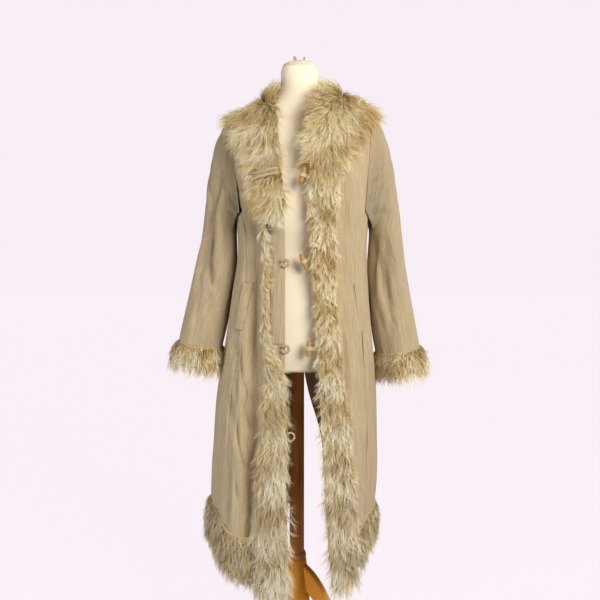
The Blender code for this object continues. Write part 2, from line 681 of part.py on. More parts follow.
def build_strip_and_welts():
    rows = [w for w in LOW_ROWS if STRIP_LOW <= w < STRIP_HIGH] + [STRIP_HIGH]
    share, w = np.meshgrid((0.0, 0.5, 1.0), rows)
    a = share * STRIP_WIDTH / front_width(RIGHT, w)
    outer = moved(front, RIGHT, a, w, np.full_like(a, LIFT + STRIP_THICK), 1)
    inner = moved(front, RIGHT, a, w, np.full_like(a, LIFT), 1)
    add_wall("loop_strip", outer, inner, "cloth")
    for i, side in enumerate((RIGHT, LEFT)):
        share, v = np.meshgrid(np.linspace(-1, 1, 4), np.linspace(WELTS["low"][i], WELTS["high"][i], 8))
        lift = (v - WELTS["low"][i]) / (WELTS["high"][i] - WELTS["low"][i])
        angle = WELTS["angle"][i] + WELTS["spread"][i] * (share + 0.8 * (lift - 0.5))
        outer = moved(ring, side, angle, v, np.full_like(v, LIFT + WELT_THICK), -1)
        inner = moved(ring, side, angle, v, np.full_like(v, LIFT), -1)
        add_wall(f"pocket_welt_{name_of(side)}", outer, inner, "cloth")


def edge_at(side, z):
    """The front edge at a height, and the way out of the cloth there."""
    w = np.linspace(0, 2, 801)
    heights = front(side, np.zeros_like(w), w)[..., 2]
    at = float(np.interp(z, heights, w))
    point = front(side, np.zeros(1), np.full(1, at))[0]
    out = moved(front, side, np.zeros(1), np.full(1, at), np.ones(1), 1)[0] - point
    return point, out


def build_toggles():
    profile = [(r * TOGGLE_RADIUS, share * TOGGLE_LENGTH / 2) for r, share in TOGGLE_PROFILE]
    for i, z in enumerate(TOGGLES["z"]):
        edge, out = edge_at(LEFT, z)
        reach, tail = TOGGLES["reach"][i], TOGGLES["tail"][i]
        lean, swing = math.radians(TOGGLES["lean"][i]), math.radians(TOGGLES["swing"][i])
        centre = edge + np.array([-reach, 0.0, 0.0]) - out * (WALL / 2 + TOGGLES["behind"][i])
        toggle = add_loft(f"toggle_{i + 1}", turned(profile, 10), "toggle wood")
        toggle.location = centre
        toggle.rotation_euler = (0.0, lean, swing)
        # The tab is one strip: along its tail, round the toggle and back
        wrap = TOGGLE_RADIUS + LIFT + TAB_THICK / 2
        turns = np.radians(np.linspace(18, 342, 15))
        turned_path = [(wrap * math.cos(t), wrap * math.sin(t)) for t in turns]
        half = TAB_THICK / 2 + LIFT / 2
        path = [(tail, half), (wrap * 1.5, half)] + turned_path + [(wrap * 1.5, -half), (tail, -half)]
        path = np.array(path)
        way = np.gradient(path, axis=0)
        normal = np.stack([-way[:, 1], way[:, 0]], axis=1) / np.linalg.norm(way, axis=1)[:, None]
        facing = 1.0 if reach > 0 else -1.0
        sheets = []
        for offset in (TAB_THICK / 2, -TAB_THICK / 2):
            line = path + normal * offset
            edges = (-TAB_WIDTH / 2, TAB_WIDTH / 2)
            sheets.append(np.array([[(facing * p, q, h) for h in edges] for p, q in line]))
        tab = add_wall(f"toggle_tab_{i + 1}", sheets[0], sheets[1], "cloth")
        tab.location = centre
        tab.rotation_euler = (0.0, lean, swing)


def build_loops():
    for i, z in enumerate(LOOPS["z"]):
        edge, out = edge_at(RIGHT, z)
        reach, half = LOOPS["reach"][i], LOOPS["half"][i]
        lean = math.radians(LOOPS["lean"][i])
        bend = np.radians(np.linspace(-90, 90, 11))
        turn_at = reach - half
        start = SEAM + 0.4 * CORD + 0.62 * half * abs(math.sin(lean))
        path = [(start, -0.62 * half), (0.4 * turn_at + CORD, -0.9 * half)]
        path += [(turn_at + half * math.cos(t), half * math.sin(t)) for t in bend]
        path += [(0.4 * turn_at + CORD, 0.9 * half), (start, 0.62 * half)]
        points = []
        for reach_x, rise in path:
            x = reach_x * math.cos(lean) - rise * math.sin(lean)
            z_up = reach_x * math.sin(lean) + rise * math.cos(lean)
            points.append(edge - out * LOOP_DEPTH + np.array([x, 0.0, z_up]))
        add_cord(f"loop_{i + 2}", points, CORD, 6, "cloth")


def build_top_loop():
    """The loop that lies across the collar on the right."""
    c_line = np.linspace(0, 1, 401)
    heights = collar(RIGHT, np.zeros_like(c_line), c_line)[..., 2]
    middle = float(np.interp(TOP_LOOP_Z, heights, c_line))
    reach = float(spline(COLLAR_REACH[RIGHT]["c"], COLLAR_REACH[RIGHT]["reach"], np.array([middle]))[0])
    start_w = COLLAR_START[RIGHT] + (2 - COLLAR_START[RIGHT]) * middle
    width = reach * float(front_width(RIGHT, np.array([start_w]))[0])
    rise = float(heights[-1] - heights[0])
    distance = np.linspace(0.004, TOP_LOOP_LENGTH, 10)
    bulge = TOP_LOOP_HALF + 0.0035 * smooth((distance - 0.045) / 0.02)
    bend = np.radians(np.linspace(-60, 60, 5))
    lower = list(zip(distance, -bulge))
    tip = [(TOP_LOOP_LENGTH + bulge[-1] * math.cos(t), bulge[-1] * math.sin(t)) for t in bend]
    upper = list(zip(distance[::-1], bulge[::-1]))
    path = np.array(lower + tip + upper)
    s, c = path[:, 0] / width, middle + path[:, 1] / rise
    pile = np.interp(s, COLLAR_FUR["outside"], COLLAR_FUR["rise"]) * PILE["collar"]
    height = pile + CORD + LIFT + 0.0012
    add_cord("loop_1", moved(collar, RIGHT, s, c, height, 1), CORD, 6, "cloth")


def build_form():
    angle = np.arange(28) * 360 / 28
    across, along = rounded(angle, FORM_SQUARE)
    rings = []
    for i, z in enumerate(TORSO["z"]):
        depth = np.where(along < 0, TORSO["front"][i], TORSO["back"][i])
        rings.append(np.stack([TORSO["half"][i] * across, depth * along, np.full_like(angle, z)], axis=-1))
    add_loft("form_torso", rings, "jersey")
    turns = np.arange(27) * 2 * math.pi / 27
    rings = []
    for z, radius in zip(NECK_CAP["z"], NECK_CAP["radius"]):
        fade = smooth((z - NECK_CAP["z"][1]) / 0.006)
        r = radius + CAP_PUCKER_DEPTH * fade * np.cos(CAP_PUCKERS * turns)
        rings.append(np.stack([r * np.cos(turns), r * np.sin(turns), np.full_like(turns, z)], axis=-1))
    add_loft("form_neck_cap", rings, "jersey")
    for i, height in enumerate(TIES["height"]):
        rings = []
        for share in (0.0, 0.35, 0.7, 1.0):
            half_x, half_y = 0.0052 - 0.0034 * share, 0.0024 - 0.0012 * share
            x = TIES["x"][i] + math.tan(math.radians(TIES["lean"][i])) * height * share
            z = NECK_CAP["z"][-1] + LIFT + height * share
            rings.append([(x + half_x * math.cos(t), half_y * math.sin(t), z) for t in turns[::3]])
        add_loft(f"form_tie_{i + 1}", rings, "jersey")
    pole = turned([(POLE_RADIUS, POLE_FOOT), (POLE_RADIUS, TORSO["z"][0] - LIFT)], ROUND_SIDES)
    stand = [add_loft("stand_pole", pole, "dark wood")]
    rings = np.swapaxes(np.array(turned(RING_PROFILE, ROUND_SIDES)), 0, 1)
    outline = len(RING_PROFILE)
    faces = []
    for r in range(ROUND_SIDES):
        for c in range(outline):
            d, e = (c + 1) % outline, (r + 1) % ROUND_SIDES
            faces.append((r * outline + c, r * outline + d, e * outline + d, e * outline + c))
    stand.append(add_object("stand_ring", rings.reshape(-1, 3), faces, "dark wood"))
    stand.append(add_loft("stand_hub", turned(list(zip(HUB["radius"], HUB["z"])), ROUND_SIDES), "pale wood"))
    for i, degrees in enumerate(LEG_ANGLES):
        outline = [(r, z) for r, z in LEG_TOP + LEG_UNDER]
        faces_of_leg = [[(r, h, z) for r, z in outline] for h in (-LEG_THICK / 2, LEG_THICK / 2)]
        leg = add_wall_from_outline(f"stand_leg_{i + 1}", faces_of_leg)
        leg.rotation_euler = (0.0, 0.0, math.radians(degrees))
        stand.append(leg)
    for piece in stand:
        piece.location.x = STAND_X


def add_wall_from_outline(name, outlines):
    """A flat board between two copies of its outline, in strips between its top and under edges."""
    count, half = len(outlines[0]), len(LEG_TOP)
    faces = []
    for i in range(half - 1):
        j = count - 1 - i
        faces.append((i, i + 1, j - 1, j))
        faces.append(tuple(count + k for k in (j, j - 1, i + 1, i)))
    for i in range(count):
        j = (i + 1) % count
        faces.append((j, i, count + i, count + j))
    return add_object(name, outlines[0] + outlines[1], faces, "pale wood")


for old in list(bpy.data.objects):
    bpy.data.objects.remove(old)
COAT = bpy.data.collections.new("penny lane coat")
bpy.context.scene.collection.children.link(COAT)
build_panels()
build_sleeves()
build_fur()
build_strip_and_welts()
build_toggles()
build_loops()
build_top_loop()
build_form()
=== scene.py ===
"""Looks of a long coat with shaggy fur trim on a limbless dress form, with its floor and light.

Metres, Z up, coat front towards -Y. Right and left are the wearer's: right is -X.
"""

import math

import bpy
import numpy as np
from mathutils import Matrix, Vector, kdtree


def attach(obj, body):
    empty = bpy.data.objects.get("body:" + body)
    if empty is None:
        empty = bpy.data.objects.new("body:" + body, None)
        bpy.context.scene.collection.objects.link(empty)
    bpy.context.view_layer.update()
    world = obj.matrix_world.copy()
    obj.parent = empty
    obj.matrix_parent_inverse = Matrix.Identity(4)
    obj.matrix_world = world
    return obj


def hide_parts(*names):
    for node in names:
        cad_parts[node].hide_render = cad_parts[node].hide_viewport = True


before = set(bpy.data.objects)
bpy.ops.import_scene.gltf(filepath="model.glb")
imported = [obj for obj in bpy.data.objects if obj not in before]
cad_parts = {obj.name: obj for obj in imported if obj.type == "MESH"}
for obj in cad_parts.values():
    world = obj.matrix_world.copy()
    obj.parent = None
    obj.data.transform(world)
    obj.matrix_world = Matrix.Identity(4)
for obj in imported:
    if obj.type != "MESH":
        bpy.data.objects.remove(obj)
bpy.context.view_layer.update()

RIGHT, LEFT = -1, 1
SIDES = (RIGHT, LEFT)


def name_of(side):
    return "right" if side == RIGHT else "left"


def table(columns, *rows):
    """A dictionary of arrays, one for each named column."""
    return {name: np.array(column) for name, column in zip(columns.split(), zip(*rows))}


def rows_of(named):
    """The rows of a table, one after another."""
    return zip(*named.values())


# Cloth wall, the gap at a seam and under a trim, and the share of a panel that is left off at a seam
WALL, SEAM, LIFT, TRIM = 0.0022, 0.0004, 0.0003, 0.0013

# Powers of the rounded sections and of the roll over the shoulder
COAT_SQUARE, SLEEVE_SQUARE, FORM_SQUARE, LEG_SQUARE, SHOULDER_ROUND = 2.5, 2.2, 2.3, 20 / 3, 0.77

# Shoulder lines of the coat, with X as the distance from the centre plane; the right one sags
NECK_POINT = {RIGHT: (0.066, 0.012, 1.572), LEFT: (0.066, 0.012, 1.580)}
SHOULDER_TIP = {RIGHT: (0.187, 0.012, 1.498), LEFT: (0.191, 0.012, 1.512)}
SHOULDER_SAG = {RIGHT: 0.016, LEFT: 0.0}
NAPE_Y, NAPE_Z, NAPE_SHARE = 0.064, 1.574, 0.34
EDGE_DRIFT, ARMHOLE_DRIFT = {RIGHT: 1.2, LEFT: 4.0}, 1.2

# Rings of the coat from the hem to the underarm. Edges and vents are distances from the centre plane,
# seams are angles in degrees from the centre back.
BODY = table(
    "z_side z_front half_right half_left front back edge_right edge_left"
    " vent_right vent_left seam_right seam_left",
    (0.372, 0.284, 0.243, 0.188, 0.190, 0.185, 0.031, 0.084, 0.006, 0.088, 133, 116),
    (0.470, 0.406, 0.241, 0.199, 0.180, 0.176, 0.033, 0.072, 0.005, 0.078, 133, 118),
    (0.607, 0.574, 0.238, 0.209, 0.166, 0.163, 0.036, 0.061, 0.004, 0.060, 132, 121),
    (0.744, 0.731, 0.231, 0.209, 0.154, 0.149, 0.038, 0.053, 0.003, 0.022, 131, 124),
    (0.895, 0.892, 0.205, 0.199, 0.142, 0.134, 0.038, 0.045, 0.000, 0.000, 130, 126),
    (1.018, 1.018, 0.187, 0.188, 0.131, 0.114, 0.038, 0.039, 0.000, 0.000, 129, 126),
    (1.155, 1.155, 0.168, 0.180, 0.122, 0.098, 0.038, 0.030, 0.000, 0.000, 124, 122),
    (1.251, 1.251, 0.173, 0.187, 0.127, 0.110, 0.040, 0.021, 0.000, 0.000, 116, 116),
)
BODY_SHARE = (BODY["z_side"] - BODY["z_side"][0]) / (BODY["z_side"][-1] - BODY["z_side"][0])
SEAM_BACK = 62.0

# Rough sizes that turn the gap at an armhole into shares of the panels beside it
BODY_HEIGHT, FRONT_WIDTH = 0.88, 0.14

# Largest folds of the skirt and of the sleeves: a ridge is above 0 and a trough below
FOLD_COLUMNS = "side angle width depth z_top z_full z_bottom"
SKIRT_FOLDS = table(
    FOLD_COLUMNS,
    (RIGHT, 152, 8, -0.012, 1.10, 0.70, 0),
    (RIGHT, 140, 8, 0.008, 1.00, 0.60, 0),
    (RIGHT, 112, 10, -0.008, 0.75, 0.50, 0),
    (RIGHT, 88, 11, 0.007, 0.72, 0.50, 0),
    (RIGHT, 62, 11, -0.010, 0.95, 0.55, 0),
    (RIGHT, 38, 10, 0.010, 0.90, 0.50, 0),
    (LEFT, 141, 9, 0.006, 1.00, 0.60, 0),
    (LEFT, 118, 9, -0.008, 0.95, 0.55, 0),
    (LEFT, 97, 10, 0.007, 0.72, 0.50, 0),
    (LEFT, 66, 11, -0.009, 0.95, 0.50, 0),
    (LEFT, 42, 9, 0.008, 0.85, 0.45, 0),
)
SLEEVE_FOLDS = table(
    FOLD_COLUMNS,
    (RIGHT, 52, 16, -0.007, 1.36, 1.28, 1.02),
    (RIGHT, 100, 16, 0.004, 1.28, 1.20, 1.00),
    (RIGHT, 250, 18, -0.006, 1.30, 1.22, 0.98),
    (LEFT, 108, 16, -0.005, 1.20, 1.12, 0.98),
    (LEFT, 60, 18, 0.003, 1.30, 1.22, 1.00),
    (LEFT, 255, 18, -0.006, 1.30, 1.22, 0.98),
)
FOLD_FADE = 0.08

# Sections of the sleeves from the bicep to the tips of the cuff fur
SLEEVES = table(
    "z_right outer_right inner_right z_left outer_left inner_left y depth",
    (1.205, 0.265, 0.1745, 1.205, 0.275, 0.1900, 0.014, 0.062),
    (1.130, 0.280, 0.1745, 1.120, 0.288, 0.1865, 0.020, 0.063),
    (1.040, 0.301, 0.1885, 1.020, 0.305, 0.1925, 0.020, 0.064),
    (0.950, 0.323, 0.2035, 0.925, 0.322, 0.2040, 0.012, 0.066),
    (0.905, 0.332, 0.2140, 0.876, 0.330, 0.2130, 0.006, 0.067),
    (0.844, 0.336, 0.2260, 0.821, 0.333, 0.2230, 0.000, 0.068),
    (0.806, 0.338, 0.2320, 0.786, 0.335, 0.2280, -0.002, 0.068),
)
SLEEVE_TILT, CUFF_TOP, CLOTH_END = 0.16, 0.769, 0.910

# How the head of a sleeve leaves the armhole, more steeply under the arm, and how it arrives at the bicep;
# how soon below the armhole its wall turns to the cloth's own normal and its creases begin
SLEEVE_HEAD, HEAD_DROP, HEAD_DROP_UNDER, HEAD_OUT_UNDER, HEAD_ARRIVES = 0.55, 0.28, 0.5, 0.4, 0.13
HEAD_TURNS, HEAD_CREASES = 0.2, 0.12

# Share of the loop round an armhole, and the angle of the sleeve's section there
FRONT_END, BACK_START = 0.40, 0.60
ARMHOLE_SHARES = (0.0, FRONT_END, BACK_START, 1.0)
ARMHOLE_ANGLES = (0.0, 140.0, 220.0, 360.0)

# Collar: where its front end is, how far out it reaches, and how it falls and narrows round the back
COLLAR_START = {RIGHT: 0.97, LEFT: 1.20}
COLLAR_REACH = table(
    "c right left",
    (0.0, 0.34, 0.40), (0.2, 0.46, 0.52), (0.4, 0.60, 0.68),
    (0.6, 0.80, 0.87), (0.8, 0.95, 0.98), (1.0, 0.98, 0.99),
)
COLLAR_FALL, FALL_POWER, NARROW_POWER, COLLAR_END = 0.56, 1.2, 0.8, 1.996

# Front bands: distances from the front edge to the band's two sides, and the ends of the bands
BANDS = {
    RIGHT: table(
        "z near far",
        (0.30, 0.000, 0.076), (0.45, 0.000, 0.070), (0.68, 0.000, 0.058), (0.84, 0.000, 0.052),
        (0.92, 0.037, 0.058), (1.10, 0.037, 0.058), (1.30, 0.037, 0.058),
    ),
    LEFT: table(
        "z near far",
        (0.30, 0.000, 0.078), (0.55, 0.000, 0.072), (0.78, 0.000, 0.058), (0.93, 0.000, 0.048),
        (1.10, 0.000, 0.046), (1.28, 0.000, 0.058), (1.40, 0.000, 0.066),
    ),
}
BAND_FOOT, BAND_TOP, OVERHANG = -0.012, {RIGHT: 0.962, LEFT: 1.192}, 0.010

# Height of the hem fur's seam as a share of the body, and its gap to the front band
HEM_SEAM, HEM_GAP = 0.106, 0.0015

# Strip along the right front edge that carries the loops
STRIP_WIDTH, STRIP_LOW, STRIP_HIGH, STRIP_THICK = 0.031, 0.620, 0.962, 0.0020

# Pocket welts: middle angle, half their width in degrees, their ends as shares of the body's height, and
# their thickness; they slant, and the left one is pressed flat
WELTS = table(
    "side angle spread low high thick",
    (RIGHT, 131, 5.5, 0.655, 0.795, 0.0056),
    (LEFT, 128, 5.0, 0.650, 0.790, 0.0014),
)
WELT_SLANT = 0.8

# Edges of the strip and welts: their thickness there, and a line of stitches inside them
EDGE_THICK, EDGE_REACH = 0.55, 0.0025
STITCH_IN, STITCH_WIDTH, STITCH_DEPTH = 0.0035, 0.0012, 0.0006

# Toggles: height, reach past the left front edge, depth behind it, lean and swing in degrees, tab's tail
TOGGLES = table(
    "z reach behind lean swing tail",
    (1.340, 0.0155, -0.0175, 14, 3, 0.0200),
    (1.125, 0.0230, -0.0040, -22, 10, 0.0185),
    (0.905, 0.0230, -0.0030, 4, 7, 0.0200),
    (0.680, -0.0300, 0.0140, 6, 0, 0.0270),
)
TOGGLE_LENGTH, TOGGLE_RADIUS = 0.042, 0.0062
TOGGLE_PROFILE = ((0.26, -1.0), (0.68, -0.93), (0.90, -0.6), (1, -0.25), (1, 0.25), (0.90, 0.6),
                  (0.68, 0.93), (0.26, 1.0))
TAB_WIDTH, TAB_THICK, TAB_OPENS, TAB_NECK = 0.010, 0.0012, 18, 1.5

# Loops past the right front edge: height, reach, half their height, lean in degrees, how far they lie
# before and behind the edge, and radius; the two upper ones are folded forward over the strip
CORD = 0.0025
LOOPS = table(
    "z reach half lean before behind radius",
    (1.120, 0.020, 0.0085, 10, 0.0062, 0.0105, 1.5 * CORD),
    (0.905, 0.021, 0.0085, -8, 0.0062, 0.0105, 1.5 * CORD),
    (0.680, 0.023, 0.0105, 0, -0.0030, 0.0, CORD),
)
LOOP_FOOT, LOOP_NECK, LOOP_NECK_AT, CORD_SUNK = 0.62, 0.9, 0.4, 0.4

# The top loop across the right collar: height, length, half its height, and its wider end
TOP_LOOP_Z, TOP_LOOP_START, TOP_LOOP_LENGTH, TOP_LOOP_HALF = 1.352, 0.004, 0.072, 0.0042
TOP_LOOP_WIDER, WIDER_FROM, WIDER_FADE, TOP_LOOP_BEND, TOP_LOOP_LIFT = 0.0035, 0.045, 0.02, 60, 0.0012

# Dress form: rings of the torso from its base to the neck's rim
TORSO = table(
    "z half front back",
    (0.838, 0.156, 0.112, 0.112), (0.900, 0.162, 0.116, 0.116), (1.000, 0.154, 0.110, 0.102),
    (1.080, 0.138, 0.101, 0.088), (1.155, 0.129, 0.096, 0.082), (1.220, 0.140, 0.106, 0.088),
    (1.290, 0.150, 0.110, 0.096), (1.360, 0.156, 0.100, 0.098), (1.430, 0.158, 0.084, 0.095),
    (1.468, 0.158, 0.066, 0.082), (1.490, 0.151, 0.055, 0.070), (1.505, 0.139, 0.049, 0.065),
    (1.521, 0.111, 0.047, 0.061), (1.540, 0.083, 0.046, 0.056), (1.562, 0.061, 0.046, 0.050),
    (1.585, 0.053, 0.047, 0.0475), (1.610, 0.051, 0.048, 0.049), (1.634, 0.0495, 0.0475, 0.048),
    (1.637, 0.048, 0.046, 0.0465),
)

# Gathered neck cap as radius and height, its puckers and the dip at its foot, and the two tie ends
CAP_PROFILE = ((0.0475, 1.6373), (0.0470, 1.6410), (0.0410, 1.6480), (0.0300, 1.6530), (0.0140, 1.6550))
CAP_PUCKERS, CAP_PUCKER_DEPTH, PUCKERS_FROM, PUCKER_FADE = 9, 0.0012, 1.639, 0.008
PUCKER_DRIFT, SMALL_PUCKERS, SMALL_TURN = 1.3, 0.5, 0.8
CAP_DIP, CAP_DIP_REACH = 0.0015, 0.0013
TIES = table(
    "x lean height foot_x foot_y tip_x tip_y",
    (-0.011, -14, 0.016, 0.0075, 0.0030, 0.0020, 0.0015),
    (0.010, 8, 0.013, 0.0024, 0.0020, 0.0024, 0.0020),
)

# Stand: pole, ring and hub as radius and height, and the upper and lower lines of a leg
STAND_X, POLE_RADIUS, POLE_FOOT = -0.009, 0.0205, 0.290
RING_PROFILE = ((0.0246, 0.2895), (0.0262, 0.2940), (0.0262, 0.2985), (0.0240, 0.3050))
HUB_PROFILE = ((0.020, 0.100), (0.025, 0.104), (0.027, 0.110), (0.027, 0.279), (0.0262, 0.286),
               (0.0240, 0.2892))
LEG_ANGLES, LEG_THICK = (-30, 90, 210), 0.022
LEG_TOP = ((0.0275, 0.272), (0.055, 0.252), (0.085, 0.217), (0.110, 0.175), (0.135, 0.127), (0.165, 0.080),
           (0.188, 0.046), (0.208, 0.022), (0.217, 0.012))
LEG_UNDER = ((0.0275, 0.203), (0.050, 0.186), (0.076, 0.158), (0.100, 0.122), (0.122, 0.083), (0.150, 0.042),
             (0.168, 0.014), (0.186, 0.000), (0.217, 0.000))

# A fine crumpled crease down the right front, as points across and up
CRUMPLE = ((-0.158, 0.885), (-0.154, 0.834), (-0.140, 0.783), (-0.147, 0.748), (-0.163, 0.712),
           (-0.163, 0.666), (-0.154, 0.626), (-0.142, 0.595))
CRUMPLE_WIDTH, CRUMPLE_DEPTH = 0.0050, -0.0088

# Soft troughs and ridges of the cloth, as lines seen from the front and lines seen from the back
CREASE_COLUMNS = "x0 z0 x1 z1 width depth"
FRONT_CREASES = table(
    CREASE_COLUMNS,
    (-0.208, 1.358, -0.236, 1.235, 0.009, -0.0110),
    (-0.234, 1.245, -0.239, 1.130, 0.007, -0.0120),
    (-0.239, 1.130, -0.236, 1.055, 0.006, -0.0100),
    (-0.212, 1.300, -0.219, 1.060, 0.014, 0.0070),
    (-0.244, 1.240, -0.252, 1.060, 0.011, -0.0070),
    (-0.252, 1.052, -0.242, 1.017, 0.007, -0.0050),
    (-0.266, 1.075, -0.280, 0.990, 0.009, -0.0060),
    (-0.192, 1.294, -0.160, 1.256, 0.006, -0.0055),
    (-0.200, 1.262, -0.165, 1.232, 0.006, -0.0050),
    (-0.205, 1.330, -0.175, 1.285, 0.007, -0.0040),
    (-0.200, 1.210, -0.196, 1.130, 0.008, -0.0045),
    (-0.262, 1.020, -0.215, 0.995, 0.008, -0.0035),
    (-0.285, 1.000, -0.270, 0.930, 0.010, -0.0035),
    (-0.130, 1.340, -0.126, 1.180, 0.028, -0.0190),
    (-0.120, 1.180, -0.117, 0.430, 0.021, -0.0180),
    (0.188, 1.272, 0.223, 1.319, 0.006, -0.0060),
    (0.188, 1.248, 0.233, 1.256, 0.006, -0.0050),
    (0.201, 1.187, 0.191, 1.022, 0.010, -0.0080),
    (0.225, 1.180, 0.244, 0.916, 0.010, -0.0055),
    (0.265, 1.290, 0.297, 0.943, 0.010, -0.0055),
    (0.212, 1.150, 0.224, 1.010, 0.008, -0.0050),
    (-0.166, 0.600, -0.171, 0.455, 0.007, -0.0045),
    (-0.186, 0.928, -0.156, 0.878, 0.009, -0.0045),
    (-0.189, 0.777, -0.161, 0.651, 0.010, -0.0050),
    (-0.181, 0.600, -0.192, 0.462, 0.010, -0.0050),
    *[(*top, *foot, CRUMPLE_WIDTH, CRUMPLE_DEPTH) for top, foot in zip(CRUMPLE, CRUMPLE[1:])],
    (-0.147, 0.748, -0.130, 0.690, 0.0050, -0.0070),
    (-0.170, 0.905, -0.166, 0.770, 0.0055, -0.0070),
    (-0.206, 0.793, -0.172, 0.826, 0.0050, -0.0050),
    (-0.200, 0.850, -0.166, 0.890, 0.0050, -0.0046),
    (-0.173, 0.560, -0.156, 0.485, 0.0050, -0.0054),
    (-0.188, 0.565, -0.205, 0.500, 0.0050, -0.0050),
    (-0.145, 0.520, -0.152, 0.455, 0.0050, -0.0054),
    (0.126, 1.054, 0.141, 0.475, 0.016, 0.0030),
    (0.166, 0.953, 0.176, 0.525, 0.010, -0.0030),
    (0.113, 1.281, 0.131, 1.130, 0.010, -0.0020),
    (-0.159, 1.090, -0.126, 1.087, 0.0025, -0.0016),
    (0.113, 1.088, 0.156, 1.085, 0.0025, -0.0016),
)
BACK_CREASES = table(
    CREASE_COLUMNS,
    (-0.090, 1.000, -0.120, 0.500, 0.013, -0.0040),
    (0.105, 1.050, 0.130, 0.500, 0.013, -0.0040),
    (-0.060, 1.170, 0.020, 1.140, 0.008, -0.0030),
    (0.030, 1.200, 0.105, 1.165, 0.007, -0.0025),
    (-0.120, 1.330, -0.155, 1.260, 0.008, -0.0030),
    (0.120, 1.330, 0.160, 1.255, 0.008, -0.0030),
    (-0.225, 1.330, -0.255, 1.050, 0.010, -0.0045),
    (0.240, 1.330, 0.275, 1.040, 0.010, -0.0045),
)

# How a crease fades past its ends and where the cloth turns away from the side it is seen from
CREASE_PAST, CREASE_FADE, CREASE_TURN, CREASE_TURN_FADE = 0.15, 0.35, 0.05, 0.4

# Low ripples, in radians a metre across and along the cloth, the seeds of their random draws, and the dip
# of the cloth at a seam
RIPPLES, RIPPLE_HEIGHT, RIPPLE_ACROSS, RIPPLE_ALONG = 7, 0.0005, (60, 190), (-22, 22)
FRONT_SEED, BACK_SEED, SIDE_SEED, SLEEVE_SEED = 20, 30, 40, 50
SEAM_DIP, SEAM_REACH = 0.0003, 0.0045

# Fur: pile height, strands of one piece and their length, how they leave and end in degrees above the
# cloth, how they lean at the first and last edge of the right and left piece, how far they hang down, how
# pale they are, which way the surface's normal points, and the seed of the random draws
FUR = {
    "collar": dict(pile=0.024, strands=17000, length=0.047, start=48, end=-8, low=(-0.2, -0.6),
                   high=(1.0, 1.0), fall=0.5, shade=0.95, sense=1, seed=60),
    "band": dict(pile=0.019, strands=11000, length=0.042, start=38, end=-6, low=(-0.25, -0.45),
                 high=(0.20, 0.15), fall=1.4, shade=1.0, sense=1, seed=70),
    "hem": dict(pile=0.022, strands=11200, length=0.040, start=52, end=-15, low=(1.0, 1.0),
                high=(1.0, 1.0), fall=0.4, shade=0.5, sense=-1, seed=80),
    "cuff": dict(pile=0.016, strands=6000, length=0.036, start=48, end=-12, low=(0.9, 0.9),
                 high=(1.0, 1.0), fall=0.4, shade=1.0, sense=-1, seed=90),
}

# Share of the pile height from a trim's first edge to its last; the collar's pile also spreads outwards
FUR_SECTIONS = {
    "band": table("inside rise", (0.0, 0.35), (0.25, 0.86), (0.5, 1.0), (0.75, 0.86), (1.0, 0.35)),
    "hem": table("inside rise", (0.0, 0.35), (0.25, 0.86), (0.5, 1.0), (0.75, 0.90), (1.0, 0.35)),
    "cuff": table("inside rise", (0.0, 0.35), (0.25, 0.86), (0.5, 1.0), (0.75, 0.95), (1.0, 0.40)),
    "collar": table(
        "inside outside rise",
        (0.02, 0.00, 0.60), (0.14, 0.12, 0.92), (0.26, 0.25, 1.00), (0.38, 0.38, 1.00), (0.50, 0.50, 1.00),
        (0.62, 0.64, 0.98), (0.74, 0.78, 0.92), (0.86, 0.95, 0.80), (0.97, 1.14, 0.45),
    ),
}
UNDERFUR_SHARE = 0.4

# Strands: ribbons that taper, gathered in locks that stray, wave, curl and sag
STRAND_WIDTH, STRAND_KNOTS, STRANDS_IN_LOCK, QUICK_THINNER = 0.0009, 5, 5, 4
RIBBON_TWIST, RIBBON_TAPER, TAPER_POWER, RIBBON_SPREAD = 0.6, 0.75, 1.6, (0.7, 1.3)
LOCK_STRAY, STRAND_STRAY, CURL, STRAND_SAG = 0.34, 0.12, 0.24, 0.12
LOCK_LENGTH, STRAND_LENGTH, LOCK_TILT, STRAND_TILT, END_TILT = (0.72, 1.2), (0.65, 1.15), 13, 9, 12
WAVES, WAVE_DEPTH, GATHER, GATHER_POWER = (0.5, 1.1), (0.002, 0.006), (0.35, 0.85), 1.2

# Shades of the strands: patches and stray tones, with more grey locks lower down
PATCHES, PATCH_SCALE, PATCH_TURN, PATCH_SHADE = 5, 60, 6.3, 0.22
MIDDLE_SHADE, LOCK_SHADE, STRAND_SHADE = 0.5, 0.18, 0.15
WARM_END, GREY_START, GREY_HEIGHTS, GREY_SHARES = 0.49, 0.51, (0.34, 1.05), (0.7, 0.06)

# Where strands are shorter, lean another way or lie in a narrower trim
HEM_SHORTER, HEM_TOP_SHORTER = 0.3, 0.45
BAND_HEIGHTS, BAND_LENGTHS = (0.50, 0.90), (1.0, 0.66)
NAPE_LOW, NAPE_FADE, NAPE_RISE = 1.47, 0.13, {RIGHT: 1.0, LEFT: 0.5}
COVER_AT, COVER_REACH, COVER_LEAN = 0.905, 0.045, -1.3
COLLAR_FOOT, COLLAR_FOOT_FADE, COLLAR_FOOT_LENGTH = 1.225, 0.06, 0.48
LAPEL_TOP, LAPEL_FADE, LAPEL_TRIM, LAPEL_LENGTH = 1.47, 0.10, 0.21, 0.6
SLIM_LOW, SLIM_FADE, SLIM_LENGTH, SLIM_LEAN, SLIM_WIDTH = 0.58, 0.34, 0.95, -0.75, 0.72
SLIM_SHADE, SLIM_FLATTER = 0.3, 0.35

# Places seen from the front where the hair is parted, at the toggles and along the top loop
PARTINGS = table(
    "x z radius",
    (0.012, 1.360, 0.012), (0.005, 1.336, 0.012), (0.003, 1.134, 0.010),
    (0.009, 1.114, 0.010), (0.020, 0.914, 0.010), (0.022, 0.892, 0.010),
    *[(-0.117 + 0.009 * i, 1.3525, 0.0065) for i in range(8)],
)

